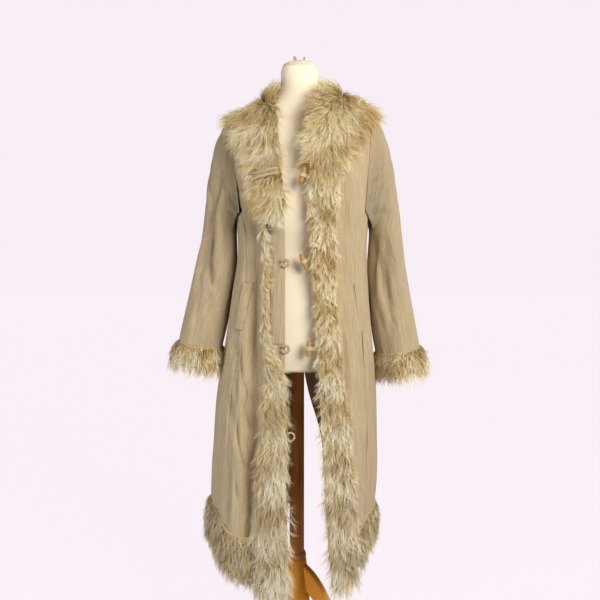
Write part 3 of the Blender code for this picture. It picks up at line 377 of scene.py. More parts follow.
# Points across and along the pieces
FRONT_COLUMNS = {RIGHT: 88, LEFT: 46}
BACK_COLUMNS, SIDE_COLUMNS, PANEL_ROWS, SIDE_ROWS = 40, 36, 141, 90
UNDERARM_COLUMNS, SLEEVE_COLUMNS, HEAD_ROWS, SLEEVE_ROWS = 7, 40, 40, 66
FUR_COLUMNS, FUR_ROWS, STRAND_NET = 15, 121, (25, 161)
STRIP_COLUMNS, STRIP_ROWS, WELT_COLUMNS, WELT_ROWS, TAB_COLUMNS, TAB_TURNS = 16, 90, 22, 70, 7, 25
TOGGLE_SIDES, TOGGLE_RINGS, CORD_SIDES, LOOP_RINGS, TOP_LOOP_RINGS = 28, 24, 10, 60, 90
LOOP_BEND_POINTS, TOP_LOOP_POINTS, TOP_LOOP_TIP_POINTS = 11, 10, 5
TORSO_SIDES, TORSO_RINGS, CAP_SIDES, CAP_RINGS, TIE_SIDES, TIE_RINGS = 96, 110, 120, 26, 30, 9
POLE_SIDES, POLE_RINGS, RING_RINGS, HUB_RINGS, LEG_SIDES, LEG_RINGS = 48, 30, 30, 50, 40, 50
WIDTH_STEPS, EDGE_STEPS, COLLAR_STEPS, NORMAL_STEP = 13, 801, 401, 2e-4

# Camera, lights and room, with the floor and the far wall in the photo's pale lilac
LENS, SENSOR, EYE, EYE_TILT = 39.0, 36.0, (0.0, -1.78, 1.155), 85.6
LIGHTS = {
    "key": dict(place=(1.8, -2.35, 2.35), target=(0.0, 0.0, 1.05), size=1.5, power=110.0,
                colour=(1.0, 0.97, 0.90)),
    "fill": dict(place=(-2.2, -1.0, 0.5), target=(-0.15, 0.0, 0.55), size=1.0, power=26.0,
                 colour=(0.88, 0.93, 1.0)),
}
PALE, ROOM_GLOW, ROOM_LIGHT = (0.935, 0.855, 0.925, 1.0), (1.0, 0.80, 0.63, 1.0), 0.32
FLOOR_REACH, FLOOR_TINT, FLOOR_GLOW, FLOOR_ROUGH = 15.0, 0.05, 0.982, 0.9


def spline(xs, ys, x):
    """A smooth curve through a column, carried on straight past its ends."""
    slope = np.gradient(ys, xs)
    held = np.clip(x, xs[0], xs[-1])
    i = np.clip(np.searchsorted(xs, held) - 1, 0, len(xs) - 2)
    gap = xs[i + 1] - xs[i]
    t = (held - xs[i]) / gap
    start = (1 + 2 * t) * (1 - t) ** 2 * ys[i] + t * (1 - t) ** 2 * gap * slope[i]
    end = t**2 * (3 - 2 * t) * ys[i + 1] + t**2 * (t - 1) * gap * slope[i + 1]
    beyond = np.where(x < xs[0], slope[0], slope[-1]) * (x - held)
    return start + end + beyond


def smooth(t):
    """A step from 0 to 1 with soft ends."""
    t = np.clip(t, 0, 1)
    return t * t * (3 - 2 * t)


def between(start, end, share):
    """The value at a share of the way from one to another."""
    return start + (end - start) * share


def lengths(vectors):
    return np.linalg.norm(vectors, axis=-1)


def unit(vectors):
    return vectors / np.maximum(lengths(vectors), 1e-12)[..., None]


def joined(*parts):
    """Points from arrays of their coordinates, spread to one shape."""
    return np.stack(np.broadcast_arrays(*parts), axis=-1)


def bell(distance):
    """A bump that is 1 in the middle and falls away on both sides."""
    return np.exp(-(distance**2))


def body(column, v):
    return spline(BODY_SHARE, BODY[column], v)


def sided(column, side, v):
    """A column that has one value for each side."""
    return body(f"{column}_{name_of(side)}", v)


def rounded(angle, square):
    """Shares across and along a rounded ring at an angle in degrees from the back."""
    turn = np.radians(angle)
    return [np.sign(part) * np.abs(part) ** (2 / square) for part in (np.sin(turn), np.cos(turn))]


def fold_depth(folds, side, angle, z):
    """How far the folds of one side move the cloth."""
    moved_by = np.zeros_like(z)
    for on, middle, width, depth, z_top, z_full, z_bottom in rows_of(folds):
        if on == side:
            fade = smooth((z_top - z) / (z_top - z_full)) * smooth((z - z_bottom) / FOLD_FADE)
            moved_by = moved_by + depth * fade * bell((angle - middle) / width)
    return moved_by


def ring(side, angle, v):
    """Outer face of the coat below the arms; v runs from 0 at the hem to 1 at the underarm."""
    half, z = sided("half", side, v), body("z_side", v)
    across, along = rounded(angle, COAT_SQUARE)
    depth = np.where(along < 0, body("front", v), body("back", v))
    z = z + np.where(along < 0, body("z_front", v) - z, 0) * along**2
    x, y = side * half * across, depth * along
    out = np.stack([x / half**2, y / depth**2])
    out = out / np.linalg.norm(out, axis=0)
    push = fold_depth(SKIRT_FOLDS, side, angle, z)
    return joined(x + push * out[0], y + push * out[1], z)


def angle_at(side, v, distance):
    """Angle of the point that lies this far from the centre plane, counted from that plane."""
    half = sided("half", side, v)
    return np.degrees(np.arcsin((np.maximum(distance, 0) / half) ** (COAT_SQUARE / 2)))


def climb(low, top, rise, drift):
    """From the underarm level up to the shoulder line."""
    up = np.sin(rise * math.pi / 2)
    over = np.cos(rise * math.pi / 2) ** SHOULDER_ROUND
    (x, y, z), (top_x, top_y, top_z) = (np.moveaxis(points, -1, 0) for points in (low, top))
    return joined(between(x, top_x, up**drift), between(top_y, y, over), between(z, top_z, up))


def shoulder(side, share, gap):
    """The shoulder line at a share of the way from the neck to its tip."""
    point = [between(*ends, share) for ends in zip(NECK_POINT[side], SHOULDER_TIP[side])]
    sag = SHOULDER_SAG[side] * np.sin(math.pi * np.clip(share, 0, 1))
    return joined(side * point[0], point[1] + gap, point[2] - sag)


def front(side, a, w):
    """Front panel: a from front edge to side seam, w 0 at the hem, 1 under the arm, 2 at the shoulder."""
    v, rise = np.minimum(w, 1), np.clip(w - 1, 0, 1)
    edge = 180 - angle_at(side, v, sided("edge", side, v))
    low = ring(side, between(edge, sided("seam", side, v), a), v)
    drift = between(EDGE_DRIFT[side], ARMHOLE_DRIFT, 1 - (1 - np.clip(a, 0, 1)) ** 2)
    return climb(low, shoulder(side, a, -SEAM / 2), rise, drift)


def back(side, a, w):
    """Half of the back: a from the centre seam or vent to the side seam, w as on the front."""
    v, rise = np.minimum(w, 1), np.clip(w - 1, 0, 1)
    vent = angle_at(side, v, sided("vent", side, v))
    low = ring(side, between(vent, SEAM_BACK, a), v)
    share = np.clip(a / NAPE_SHARE, 0, 1)
    x, y, z = NECK_POINT[side]
    past = 1 - share**2
    neck = joined(side * x * share, between(y, NAPE_Y, past) + SEAM / 2, between(z, NAPE_Z, past))
    line = shoulder(side, (a - NAPE_SHARE) / (1 - NAPE_SHARE), SEAM / 2)
    top = np.where((a < NAPE_SHARE)[..., None], neck, line)
    return climb(low, top, rise, ARMHOLE_DRIFT)


def underarm(side, a, v):
    """Side panel: a from the back seam to the front seam."""
    return ring(side, between(SEAM_BACK, sided("seam", side, v), a), v)


def sleeve_section(side, angle, share):
    """A sleeve's section at a share of the way from the bicep to the fur's tips; angle 0 faces outwards."""
    name = name_of(side)
    heights = SLEEVES[f"z_{name}"]
    z = between(heights[0], heights[-1], share)
    columns = (f"outer_{name}", f"inner_{name}", "y", "depth")
    outer, inner, y, depth = (spline(heights[::-1], SLEEVES[column][::-1], z) for column in columns)
    along, across = rounded(angle, SLEEVE_SQUARE)
    half = (outer - inner) / 2
    x = (outer + inner) / 2 + half * across
    return joined(side * x, y - depth * along, z + SLEEVE_TILT * half * across)


def armhole(side, p):
    """Loop round the armhole: down the front from the shoulder tip, under the arm and up the back."""
    p = np.mod(p, 1)
    past, above = 1 + SEAM / FRONT_WIDTH, np.full_like(p, 1 + SEAM / BODY_HEIGHT)
    on_front = front(side, past, 2 - p / FRONT_END)
    under = underarm(side, 1 - (p - FRONT_END) / (BACK_START - FRONT_END), above)
    on_back = back(side, np.full_like(p, past), 1 + (p - BACK_START) / (1 - BACK_START))
    under = np.where((p < BACK_START)[..., None], under, on_back)
    return np.where((p < FRONT_END)[..., None], on_front, under)


def sleeve(side, p, t):
    """Sleeve: p round it from the top, t 0 at the armhole, 1 at the bicep, 2 at the tips of the cuff fur."""
    angle = np.interp(np.mod(p, 1), ARMHOLE_SHARES, ARMHOLE_ANGLES)
    turn = np.radians(angle)
    start, bicep = armhole(side, p), sleeve_section(side, angle, np.zeros_like(t))
    pull = SLEEVE_HEAD * lengths(bicep - start)[..., None]
    under = (1 - np.cos(turn)) / 2
    leave = joined(side * (1 - HEAD_OUT_UNDER * under), 0.0, -HEAD_DROP - HEAD_DROP_UNDER * under)
    arrive = np.array([side * HEAD_ARRIVES, 0.0, -1.0])
    s = np.clip(t, 0, 1)[..., None]
    head = (1 + 2 * s) * (1 - s) ** 2 * start + s * (1 - s) ** 2 * pull * leave
    head = head + s**2 * (3 - 2 * s) * bicep + s**2 * (s - 1) * pull * arrive
    low = sleeve_section(side, angle, np.maximum(t - 1, 0))
    point = np.where((t < 1)[..., None], head, low)
    push = fold_depth(SLEEVE_FOLDS, side, angle, point[..., 2])
    return point + joined(side * np.cos(turn) * push, -np.sin(turn) * push, 0.0)


def collar_reach(side, c):
    """How far across the front the collar reaches, as a share of its width."""
    return spline(COLLAR_REACH["c"], COLLAR_REACH[name_of(side)], np.clip(c, 0, 1))


def collar(side, s, c):
    """Collar: s from neck edge to outer edge, c 0 at its front end, 1 at the shoulder, 2 at the nape."""
    reach, past = collar_reach(side, c), np.clip(c - 1, 0, 1)
    on_front = front(side, s * reach, between(COLLAR_START[side], 2, np.minimum(c, 1)))
    turn = past * math.pi / 2
    near = NAPE_SHARE * (1 - past)
    far = between(NAPE_SHARE, 1, reach) * np.cos(turn) ** NARROW_POWER
    fall = COLLAR_FALL * np.sin(turn) ** FALL_POWER
    on_back = back(side, between(near, far, s), 2 - fall * s)
    return np.where((c <= 1)[..., None], on_front, on_back)


def front_width(side, w):
    """Length of cloth from the front edge to the side seam."""
    steps = np.linspace(0, 1, WIDTH_STEPS)
    line = front(side, *np.broadcast_arrays(steps, np.asarray(w)[..., None]))
    return lengths(np.diff(line, axis=-2)).sum(axis=-1)


def band_reach(side, column, w):
    """Distance from the front edge to one side of the fur band."""
    held = np.clip(w, 0, 2)
    z = front(side, np.zeros_like(held), held)[..., 2]
    return np.interp(z, BANDS[side]["z"], BANDS[side][column])


def band(side, s, w):
    """Fur band on a front: s 0 at its edge side, 1 at its seam side."""
    near, far = band_reach(side, "near", w), band_reach(side, "far", w)
    past = np.minimum(s, 0) + np.maximum(s - 1, 0)
    distance = between(near, far, np.clip(s, 0, 1)) + OVERHANG * past
    return front(side, distance / front_width(side, np.clip(w, 0, 2)), w)


def hem(side, s, m):
    """Hem fur: s from its seam to the hem, m 0 at the vent, 1 and 2 at the side seams, 3 at the front."""
    v = HEM_SEAM * (1 - s)
    held = np.clip(v, 0, 1)
    start = angle_at(side, held, sided("vent", side, held))
    edge = 180 - angle_at(side, held, sided("edge", side, held))
    seam_front = sided("seam", side, held)
    far = (band_reach(side, "far", held) + OVERHANG + HEM_GAP) / front_width(side, held)
    end = between(edge, seam_front, far)
    angle = between(start, SEAM_BACK, np.clip(m, None, 1))
    angle = angle + (seam_front - SEAM_BACK) * np.clip(m - 1, 0, 1)
    angle = angle + (end - seam_front) * np.clip(m - 2, 0, None)
    return ring(side, angle, v)


def cuff(side, s, p):
    """Fur cuff: s from its seam down to the sleeve's end, p round it."""
    return sleeve(side, p, 1 + CUFF_TOP + (CLOTH_END - CUFF_TOP) * s)


def facing(surface, side, a, b, sense):
    """Normals of a surface, turned outwards by sense, and its unit directions along a."""
    d_a = surface(side, a + NORMAL_STEP, b) - surface(side, a - NORMAL_STEP, b)
    d_b = surface(side, a, b + NORMAL_STEP) - surface(side, a, b - NORMAL_STEP)
    return sense * side * unit(np.cross(d_a, d_b)), unit(d_a)


def moved(surface, side, a, b, out, sense):
    """Points of a surface moved out along its normal."""
    normals, _ = facing(surface, side, a, b, sense)
    return surface(side, a, b) + normals * np.asarray(out)[..., None]


def creased(points, normals):
    """How far the creases move points of the cloth along their normals."""
    push = np.zeros(points.shape[:-1])
    for face, creases in ((-1, FRONT_CREASES), (1, BACK_CREASES)):
        seen = smooth((normals[..., 1] * face - CREASE_TURN) / CREASE_TURN_FADE)
        for x0, z0, x1, z1, width, depth in rows_of(creases):
            run_x, run_z = x1 - x0, z1 - z0
            from_x, from_z = points[..., 0] - x0, points[..., 2] - z0
            along = (from_x * run_x + from_z * run_z) / (run_x**2 + run_z**2)
            held = np.clip(along, 0, 1)
            apart = np.hypot(from_x - held * run_x, from_z - held * run_z) / width
            fade = smooth((CREASE_PAST + np.minimum(along, 1 - along)) / CREASE_FADE)
            push += depth * fade * seen * bell(apart)
    return push


def rippled(u, v, seed):
    """Low uneven waves that run mostly up and down the cloth."""
    rng = np.random.default_rng(seed)
    push = np.zeros_like(u)
    for _ in range(RIPPLES):
        across, along = rng.uniform(*RIPPLE_ACROSS), rng.uniform(*RIPPLE_ALONG)
        push += RIPPLE_HEIGHT * np.sin(across * u + along * v + rng.uniform(0, 2 * math.pi))
    return push


def cloth_map(points):
    """Distances across and along a grid of cloth, in metres."""
    u, v = (np.cumsum(lengths(np.diff(points, axis=axis)), axis=axis) for axis in (1, 0))
    return joined(np.pad(u, ((0, 0), (1, 0))), np.pad(v, ((1, 0), (0, 0))))


def add_object(name, data):
    """Puts a mesh, a lamp or a camera in the scene."""
    made = bpy.data.objects.new(name, data)
    bpy.context.scene.collection.objects.link(made)
    return made


def add_mesh(name, points, shapes, material, uv, uv_name="cloth"):
    """A smooth piece from points, arrays of faces and a place on the map for each point."""
    corners = np.concatenate([shape.ravel() for shape in shapes]).astype(np.int32)
    sizes = np.concatenate([np.full(len(shape), shape.shape[1]) for shape in shapes])
    mesh = bpy.data.meshes.new(name)
    mesh.vertices.add(len(points))
    mesh.vertices.foreach_set("co", np.asarray(points, np.float32).ravel())
    mesh.loops.add(len(corners))
    mesh.loops.foreach_set("vertex_index", corners)
    mesh.polygons.add(len(sizes))
    mesh.polygons.foreach_set("loop_start", (np.cumsum(sizes) - sizes).astype(np.int32))
    layer = mesh.uv_layers.new(name=uv_name)
    layer.uv.foreach_set("vector", np.asarray(uv, np.float32)[corners].ravel())
    mesh.update(calc_edges=True)
    mesh.validate()
    mesh.materials.append(material)
    mesh.shade_smooth()
    made = add_object(f"{name}_look", mesh)
    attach(made, "root")
    return made


def stand_for(piece):
    """Puts a piece in the place of the CAD node that it is named after."""
    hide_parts(piece.name.removesuffix("_look"))


def grid_faces(rows, columns, wrap=False):
    """Quads of a grid of points, joined across its last column if wrap is set."""
    r, c = np.meshgrid(np.arange(rows - 1), np.arange(columns if wrap else columns - 1), indexing="ij")
    d = (c + 1) % columns
    corners = [r * columns + c, r * columns + d, (r + 1) * columns + d, (r + 1) * columns + c]
    return np.stack(corners, axis=-1).reshape(-1, 4)


def outward(points, faces):
    """The same faces, turned so that the closed shape's normals point out."""
    a, b, c, d = (points[faces[:, i]] for i in range(4))
    volume = (a * np.cross(b, c)).sum() + (a * np.cross(c, d)).sum()
    return faces if volume > 0 else faces[:, ::-1]


def add_wall(name, outer, inner, material, uv=None):
    """A closed wall between two grids of points."""
    rows, columns = outer.shape[:2]
    count = rows * columns
    faces = grid_faces(rows, columns)
    rims = [np.arange(columns), np.arange(count - 1, count - columns - 1, -1)]
    rims += [np.arange(count - columns, -1, -columns), np.arange(columns - 1, count, columns)]
    sides = [np.stack([rim[1:], rim[:-1], count + rim[:-1], count + rim[1:]], axis=1) for rim in rims]
    points = np.concatenate([outer.reshape(-1, 3), inner.reshape(-1, 3)])
    faces = np.concatenate([faces, count + faces[:, ::-1]] + sides)
    uv = cloth_map(outer) if uv is None else uv
    return add_mesh(name, points, [outward(points, faces)], material, np.tile(uv.reshape(-1, 2), (2, 1)))


def add_loft(name, rings, material):
    """A solid through rings with the same number of points, closed by fans at its ends."""
    rings = np.asarray(rings, float)
    rows, columns = rings.shape[:2]
    uv = cloth_map(np.concatenate([rings, rings[:, :1]], axis=1))[:, :-1].reshape(-1, 2)
    points = np.concatenate([rings.reshape(-1, 3), rings[[0, -1]].mean(axis=1)])
    faces = outward(points, grid_faces(rows, columns, wrap=True))
    turned_in = faces[0, 1] != 1
    low = np.arange(columns)
    ends = [
        np.stack([np.roll(low, -1), low, np.full(columns, rows * columns)], axis=1),
        np.stack([low, np.roll(low, -1), np.full(columns, rows * columns + 1)], axis=1),
    ]
    ends[1][:, :2] += (rows - 1) * columns
    if turned_in:
        ends = [end[:, ::-1] for end in ends]
    return add_mesh(name, points, [faces] + ends, material, np.concatenate([uv, uv[[0, -1]]]))


def turns_of(sides):
    """Angles of the corners of a ring."""
    return np.arange(sides) * 2 * math.pi / sides


def turned(profile, sides):
    """Rings of a turned shape from pairs of radius and height."""
    return [[(r * math.cos(t), r * math.sin(t), z) for t in turns_of(sides)] for r, z in profile]


def add_cord(name, path, radius, material):
    """A round cord along a path."""
    ways = unit(np.gradient(path, axis=0))
    across = np.cross(ways[0], (0.0, 1.0, 0.0))
    turns = turns_of(CORD_SIDES)[:, None]
    rings = []
    for point, way in zip(path, ways):
        across = unit(across - way * np.dot(across, way))
        rings.append(point + radius * (np.cos(turns) * across + np.sin(turns) * np.cross(way, across)))
    return add_loft(name, rings, material)


def finer(path, count):
    """More points on a smooth curve through a path."""
    path = np.asarray(path)
    at = np.concatenate([[0], np.cumsum(lengths(np.diff(path, axis=0)))])
    wanted = np.linspace(0, at[-1], count)
    return joined(*[spline(at, column, wanted) for column in path.T])


def plug(tree, value, socket):
    """Sets a shader socket to a value, or links it to another socket."""
    if isinstance(value, bpy.types.NodeSocket):
        tree.links.new(value, socket)
    else:
        socket.default_value = value


def wire(tree, node, **inputs):
    """Plugs values or other sockets into the named inputs of a node."""
    for key, value in inputs.items():
        plug(tree, value, node.inputs[key.replace("_", " ")])


def add_node(tree, kind, settings=None, **inputs):
    """A shader node with its settings, and its inputs as values or as links from other sockets."""
    made = tree.nodes.new(kind)
    for key, value in (settings or {}).items():
        setattr(made, key, value)
    wire(tree, made, **inputs)
    return made


def ramp(tree, factor, *stops):
    """Colours at places from 0 to 1."""
    made = add_node(tree, "ShaderNodeValToRGB", Fac=factor)
    elements = made.color_ramp.elements
    for i, (place, colour) in enumerate(stops):
        element = elements[i] if i < 2 else elements.new(place)
        element.position = place
        element.color = (*colour, 1.0)
    return made.outputs["Color"]


def mixed(tree, factor, first, second, how="MIX"):
    """One colour over another."""
    made = add_node(tree, "ShaderNodeMix", {"data_type": "RGBA", "blend_type": how})
    for value, i in ((factor, 0), (first, 6), (second, 7)):
        plug(tree, value, made.inputs[i])
    return made.outputs[2]


def new_look(name, rough, specular, sheen=0.0, uv_name="cloth"):
    """A material with its shader, and the distances across and along the piece it covers."""
    material = bpy.data.materials.new(name)
    material.use_nodes = True
    tree = material.node_tree
    shader = tree.nodes["Principled BSDF"]
    wire(tree, shader, Roughness=rough, Specular_IOR_Level=specular, Sheen_Weight=sheen)
    place = add_node(tree, "ShaderNodeUVMap", {"uv_map": uv_name}).outputs["UV"]
    return material, tree, shader, place


def noise(tree, place, scale, size, detail, rough=0.55):
    """Noise on a map that is stretched by its scale."""
    mapped = add_node(tree, "ShaderNodeMapping", Vector=place, Scale=(*scale, 1.0)).outputs["Vector"]
    made = add_node(tree, "ShaderNodeTexNoise", Vector=mapped, Scale=size, Detail=detail, Roughness=rough)
    return made.outputs["Fac"]


def raise_bump(tree, shader, height, strength, distance):
    bump = add_node(tree, "ShaderNodeBump", Height=height, Strength=strength, Distance=distance)
    wire(tree, shader, Normal=bump.outputs["Normal"])


def cloth_look(name, dark, light, twill_turn):
    """Brushed wool: slubs along the cloth, slanting twill ribs, soft patches of tone, and painted shade in
    the troughs of its crinkles.
    """
    material, tree, shader, place = new_look(name, rough=0.92, specular=0.15, sheen=0.25)
    slub = noise(tree, place, scale=(1.0, 0.035), size=620.0, detail=4.0)
    patch = noise(tree, place, scale=(1.0, 0.5), size=16.0, detail=3.0)
    crinkle = noise(tree, place, scale=(1.0, 0.10), size=120.0, detail=3.0)
    slant = add_node(tree, "ShaderNodeMapping", Vector=place, Rotation=(0, 0, twill_turn))
    twill = add_node(
        tree, "ShaderNodeTexWave", {"wave_type": "BANDS", "bands_direction": "X"},
        Vector=slant.outputs["Vector"], Scale=75.0, Distortion=3.0, Detail=2.0, Detail_Scale=1.6,
    ).outputs["Fac"]
    weave = mixed(tree, 0.4, slub, twill)
    colour = ramp(tree, weave, (0.33, dark), (0.67, light))
    # Soft patches of tone mixed with painted shade: the colour darkens where the crinkles that the bump
    # raises are low
    mottle_and_crinkle_shade = mixed(tree, 0.6, patch, crinkle)
    shade = ramp(tree, mottle_and_crinkle_shade, (0.3, (0.80, 0.78, 0.75)), (0.65, (1.0, 1.0, 1.0)))
    wire(tree, shader, Base_Color=mixed(tree, 1.0, colour, shade, "MULTIPLY"))
    raise_bump(tree, shader, mixed(tree, 0.75, weave, crinkle), strength=0.9, distance=0.007)
    return material


def grained_look(look, dark, light, fine, broad, share, bump):
    """Finishes a new look with a fine and a broad grain between two colours."""
    material, tree, shader, place = look
    fine, broad = (noise(tree, place, **grain) for grain in (fine, broad))
    colour = ramp(tree, mixed(tree, share, fine, broad), (0.3, dark), (0.7, light))
    wire(tree, shader, Base_Color=colour)
    raise_bump(tree, shader, fine, **bump)
    return material


def wood_look(name, dark, light, rough):
    """Wood with its grain along the piece."""
    fibre = dict(scale=(1.0, 0.04), size=260.0, detail=5.0, rough=0.6)
    broad = dict(scale=(1.0, 0.12), size=45.0, detail=2.0)
    bump = dict(strength=0.15, distance=0.0005)
    return grained_look(new_look(name, rough, specular=0.15), dark, light, fibre, broad, 0.45, bump)


def fur_look(name):
    """Strands from tan roots to cream tips; the map holds each strand's shade and the way along it."""
    material, tree, shader, place = new_look(name, rough=0.8, specular=0.2, sheen=0.15, uv_name="OFBake")
    split = add_node(tree, "ShaderNodeSeparateXYZ", Vector=place)
    shade, along = split.outputs["X"], split.outputs["Y"]
    roots = ramp(
        tree, shade, (0.0, (0.33, 0.205, 0.065)), (WARM_END, (0.66, 0.52, 0.27)),
        (GREY_START, (0.32, 0.26, 0.155)), (1.0, (0.62, 0.54, 0.38)),
    )
    tips = ramp(
        tree, shade, (0.0, (0.58, 0.40, 0.15)), (0.25, (0.92, 0.80, 0.49)), (WARM_END, (1.0, 0.99, 0.84)),
        (GREY_START, (0.52, 0.45, 0.32)), (0.80, (0.90, 0.85, 0.70)), (1.0, (1.0, 0.98, 0.90)),
    )
    blend = ramp(tree, along, (0.05, (0.0, 0.0, 0.0)), (0.75, (1.0, 1.0, 1.0)))
    wire(tree, shader, Base_Color=mixed(tree, blend, roots, tips))
    return material


def plain_weave_look(name, dark, light, size):
    """Jersey or felt with a fine uneven surface."""
    look = new_look(name, rough=0.9, specular=0.2, sheen=0.15)
    knit = dict(scale=(1.0, 0.6), size=size, detail=3.0)
    patch = dict(scale=(1.0, 1.0), size=22.0, detail=2.0)
    return grained_look(look, dark, light, knit, patch, 0.5, dict(strength=0.2, distance=0.0004))


CLOTH = cloth_look("sand wool", (0.40, 0.312, 0.187), (0.685, 0.578, 0.397), twill_turn=0.6)
TRIM_CLOTH = cloth_look("cream tape", (0.55, 0.44, 0.27), (0.78, 0.67, 0.46), twill_turn=0.4)
FUR_HAIR = fur_look("shaggy fur")
UNDERFUR = plain_weave_look("underfur", (0.46, 0.35, 0.175), (0.64, 0.52, 0.31), size=420.0)
JERSEY = plain_weave_look("ivory jersey", (0.90, 0.82, 0.67), (0.95, 0.89, 0.755), size=900.0)
CAP_CLOTH = plain_weave_look("gathered jersey", (0.70, 0.58, 0.44), (0.94, 0.86, 0.72), size=500.0)
TIE_CLOTH = plain_weave_look("brown tie", (0.35, 0.23, 0.15), (0.62, 0.46, 0.34), size=600.0)
TOGGLE_WOOD = wood_look("toggle wood", (0.33, 0.15, 0.045), (0.62, 0.36, 0.14), rough=0.45)
POLE_WOOD = wood_look("walnut", (0.34, 0.132, 0.039), (0.77, 0.375, 0.125), rough=0.38)
BASE_WOOD = wood_look("beech", (0.64, 0.25, 0.027), (0.82, 0.39, 0.066), rough=0.4)


def add_panel(name, surface, side, a_values, w_values, sense, seed):
    """A panel of cloth with its creases and ripples."""
    a, w = np.meshgrid(a_values, w_values)
    points = surface(side, a, w)
    normals, _ = facing(surface, side, a, w, sense)
    uv = cloth_map(points)
    to_seam = np.minimum(uv[..., 0], uv[:, -1:, 0] - uv[..., 0]) / SEAM_REACH
    push = creased(points, normals) + rippled(uv[..., 0], uv[..., 1], seed) - SEAM_DIP * bell(to_seam)
    outer = points + normals * push[..., None]
    piece = add_wall(name, outer, outer - normals * WALL, CLOTH, uv)
    stand_for(piece)


def build_panels():
    full, low = np.linspace(0, 2, PANEL_ROWS), np.linspace(0, 1, SIDE_ROWS)
    on_back, on_side = (np.linspace(TRIM, 1 - TRIM, count) for count in (BACK_COLUMNS, SIDE_COLUMNS))
    for side in SIDES:
        name = name_of(side)
        on_front = np.linspace(0, 1 - TRIM, FRONT_COLUMNS[side])
        add_panel(f"front_{name}", front, side, on_front, full, sense=1, seed=FRONT_SEED + side)
        add_panel(f"back_{name}", back, side, on_back, full, sense=-1, seed=BACK_SEED + side)
        add_panel(f"side_{name}", underarm, side, on_side, low, sense=-1, seed=SIDE_SEED + side)


def build_sleeves():
    """Sleeves, with the rows' first point under the arm."""
    under = (FRONT_END + BACK_START) / 2
    ends = ((under, BACK_START), (BACK_START, 1), (0, FRONT_END), (FRONT_END, under))
    counts = (UNDERARM_COLUMNS, SLEEVE_COLUMNS, SLEEVE_COLUMNS, UNDERARM_COLUMNS)
    around = [np.linspace(*pair, count)[:-1] for pair, count in zip(ends, counts)]
    head, arm = np.linspace(0, 1, HEAD_ROWS), np.linspace(1, 1 + CLOTH_END, SLEEVE_ROWS)
    p, t = np.meshgrid(np.concatenate([*around, [under]]), np.concatenate([head, arm[1:]]))
    for side in SIDES:
        points = sleeve(side, p, t)
        to_axis = unit(points[:, :-1].mean(axis=1, keepdims=True) - points)
        step = np.diff(points, axis=1)
        pairs = ((step[:, -1:], step), (step, step[:, :1]))
        ahead = sum(unit(np.concatenate(pair, axis=1)) for pair in pairs)
        normals = unit(np.cross(ahead, np.gradient(points, axis=0)))
        normals *= -np.sign((normals * to_axis).sum())
        outwards = unit(between(-to_axis, normals, smooth(t / HEAD_TURNS)[..., None]))
        uv = cloth_map(points)
        push = creased(points, normals) + rippled(uv[..., 0], uv[..., 1], SLEEVE_SEED + side)
        push = push * smooth(t / HEAD_CREASES) - SEAM_DIP * bell(uv[..., 1] / SEAM_REACH)
        outer = points + outwards * push[..., None]
        name = name_of(side)
        piece = add_wall(f"sleeve_{name}", outer, outer - outwards * WALL, CLOTH, uv)
        stand_for(piece)


def slimmed(kind, surface, side, b):
    """How far the right band has thinned out beside the strip, from 0 to 1."""
    if (kind, side) != ("band", RIGHT):
        return np.zeros_like(b)
    return smooth((surface(side, np.zeros_like(b), b)[..., 2] - SLIM_LOW) / SLIM_FADE)


def on_lapel(kind, surface, side, b):
    """How far down the left lapel a place on the collar is, from 0 to 1."""
    if (kind, side) != ("collar", LEFT):
        return np.zeros_like(b)
    return smooth((LAPEL_TOP - surface(side, np.zeros_like(b), b)[..., 2]) / LAPEL_FADE)


def drawn_in(s, slim, lapel):
    """Places across a fur trim, drawn in beside the strip and along the left lapel."""
    return s * between(1, SLIM_WIDTH, slim) * (1 - LAPEL_TRIM * lapel)


def underfur(kind, s):
    """Height of the dense underfur across a trim."""
    section = FUR_SECTIONS[kind]
    return np.interp(s, section["inside"], section["rise"]) * UNDERFUR_SHARE * FUR[kind]["pile"]


def scattered(surface, side, b_ends, count, rng):
    """Places spread evenly over a trim."""
    s_grid, b_grid = np.linspace(0.0, 1.0, STRAND_NET[0]), np.linspace(*b_ends, STRAND_NET[1])
    net = surface(side, *np.meshgrid(s_grid, b_grid))
    area = lengths(np.cross(net[1:, :-1] - net[:-1, :-1], net[:-1, 1:] - net[:-1, :-1]))
    row, column = np.unravel_index(rng.choice(area.size, count, p=area.ravel() / area.sum()), area.shape)
    s = s_grid[column] + (s_grid[1] - s_grid[0]) * rng.random(count)
    b = b_grid[row] + (b_grid[1] - b_grid[0]) * rng.random(count)
    return s, b


def flattened(ways, normals):
    """Unit directions along the cloth."""
    return unit(ways - normals * (ways * normals).sum(axis=1)[:, None])


def nearest(points, leaders):
    """Which leader is nearest to each point."""
    tree = kdtree.KDTree(len(leaders))
    for i, leader in enumerate(leaders):
        tree.insert(leader, i)
    tree.balance()
    return np.array([tree.find(point)[1] for point in points])


def trimmed(kind, side, s, z, slim, lapel, cover):
    """Share of their length that the strands keep."""
    share = (1 - (1 - SLIM_LENGTH) * slim * (1 - cover)) * (1 - (1 - LAPEL_LENGTH) * lapel * s**2)
    if kind == "hem":
        share = share * (1 - HEM_SHORTER * s) * (1 - HEM_TOP_SHORTER * (1 - s) ** 2)
    if kind == "band":
        share = share * np.interp(z, BAND_HEIGHTS, BAND_LENGTHS)
    if (kind, side) == ("collar", RIGHT):
        above = smooth((z - COLLAR_FOOT) / COLLAR_FOOT_FADE)
        share = share * between(COLLAR_FOOT_LENGTH, 1, above)
    return share


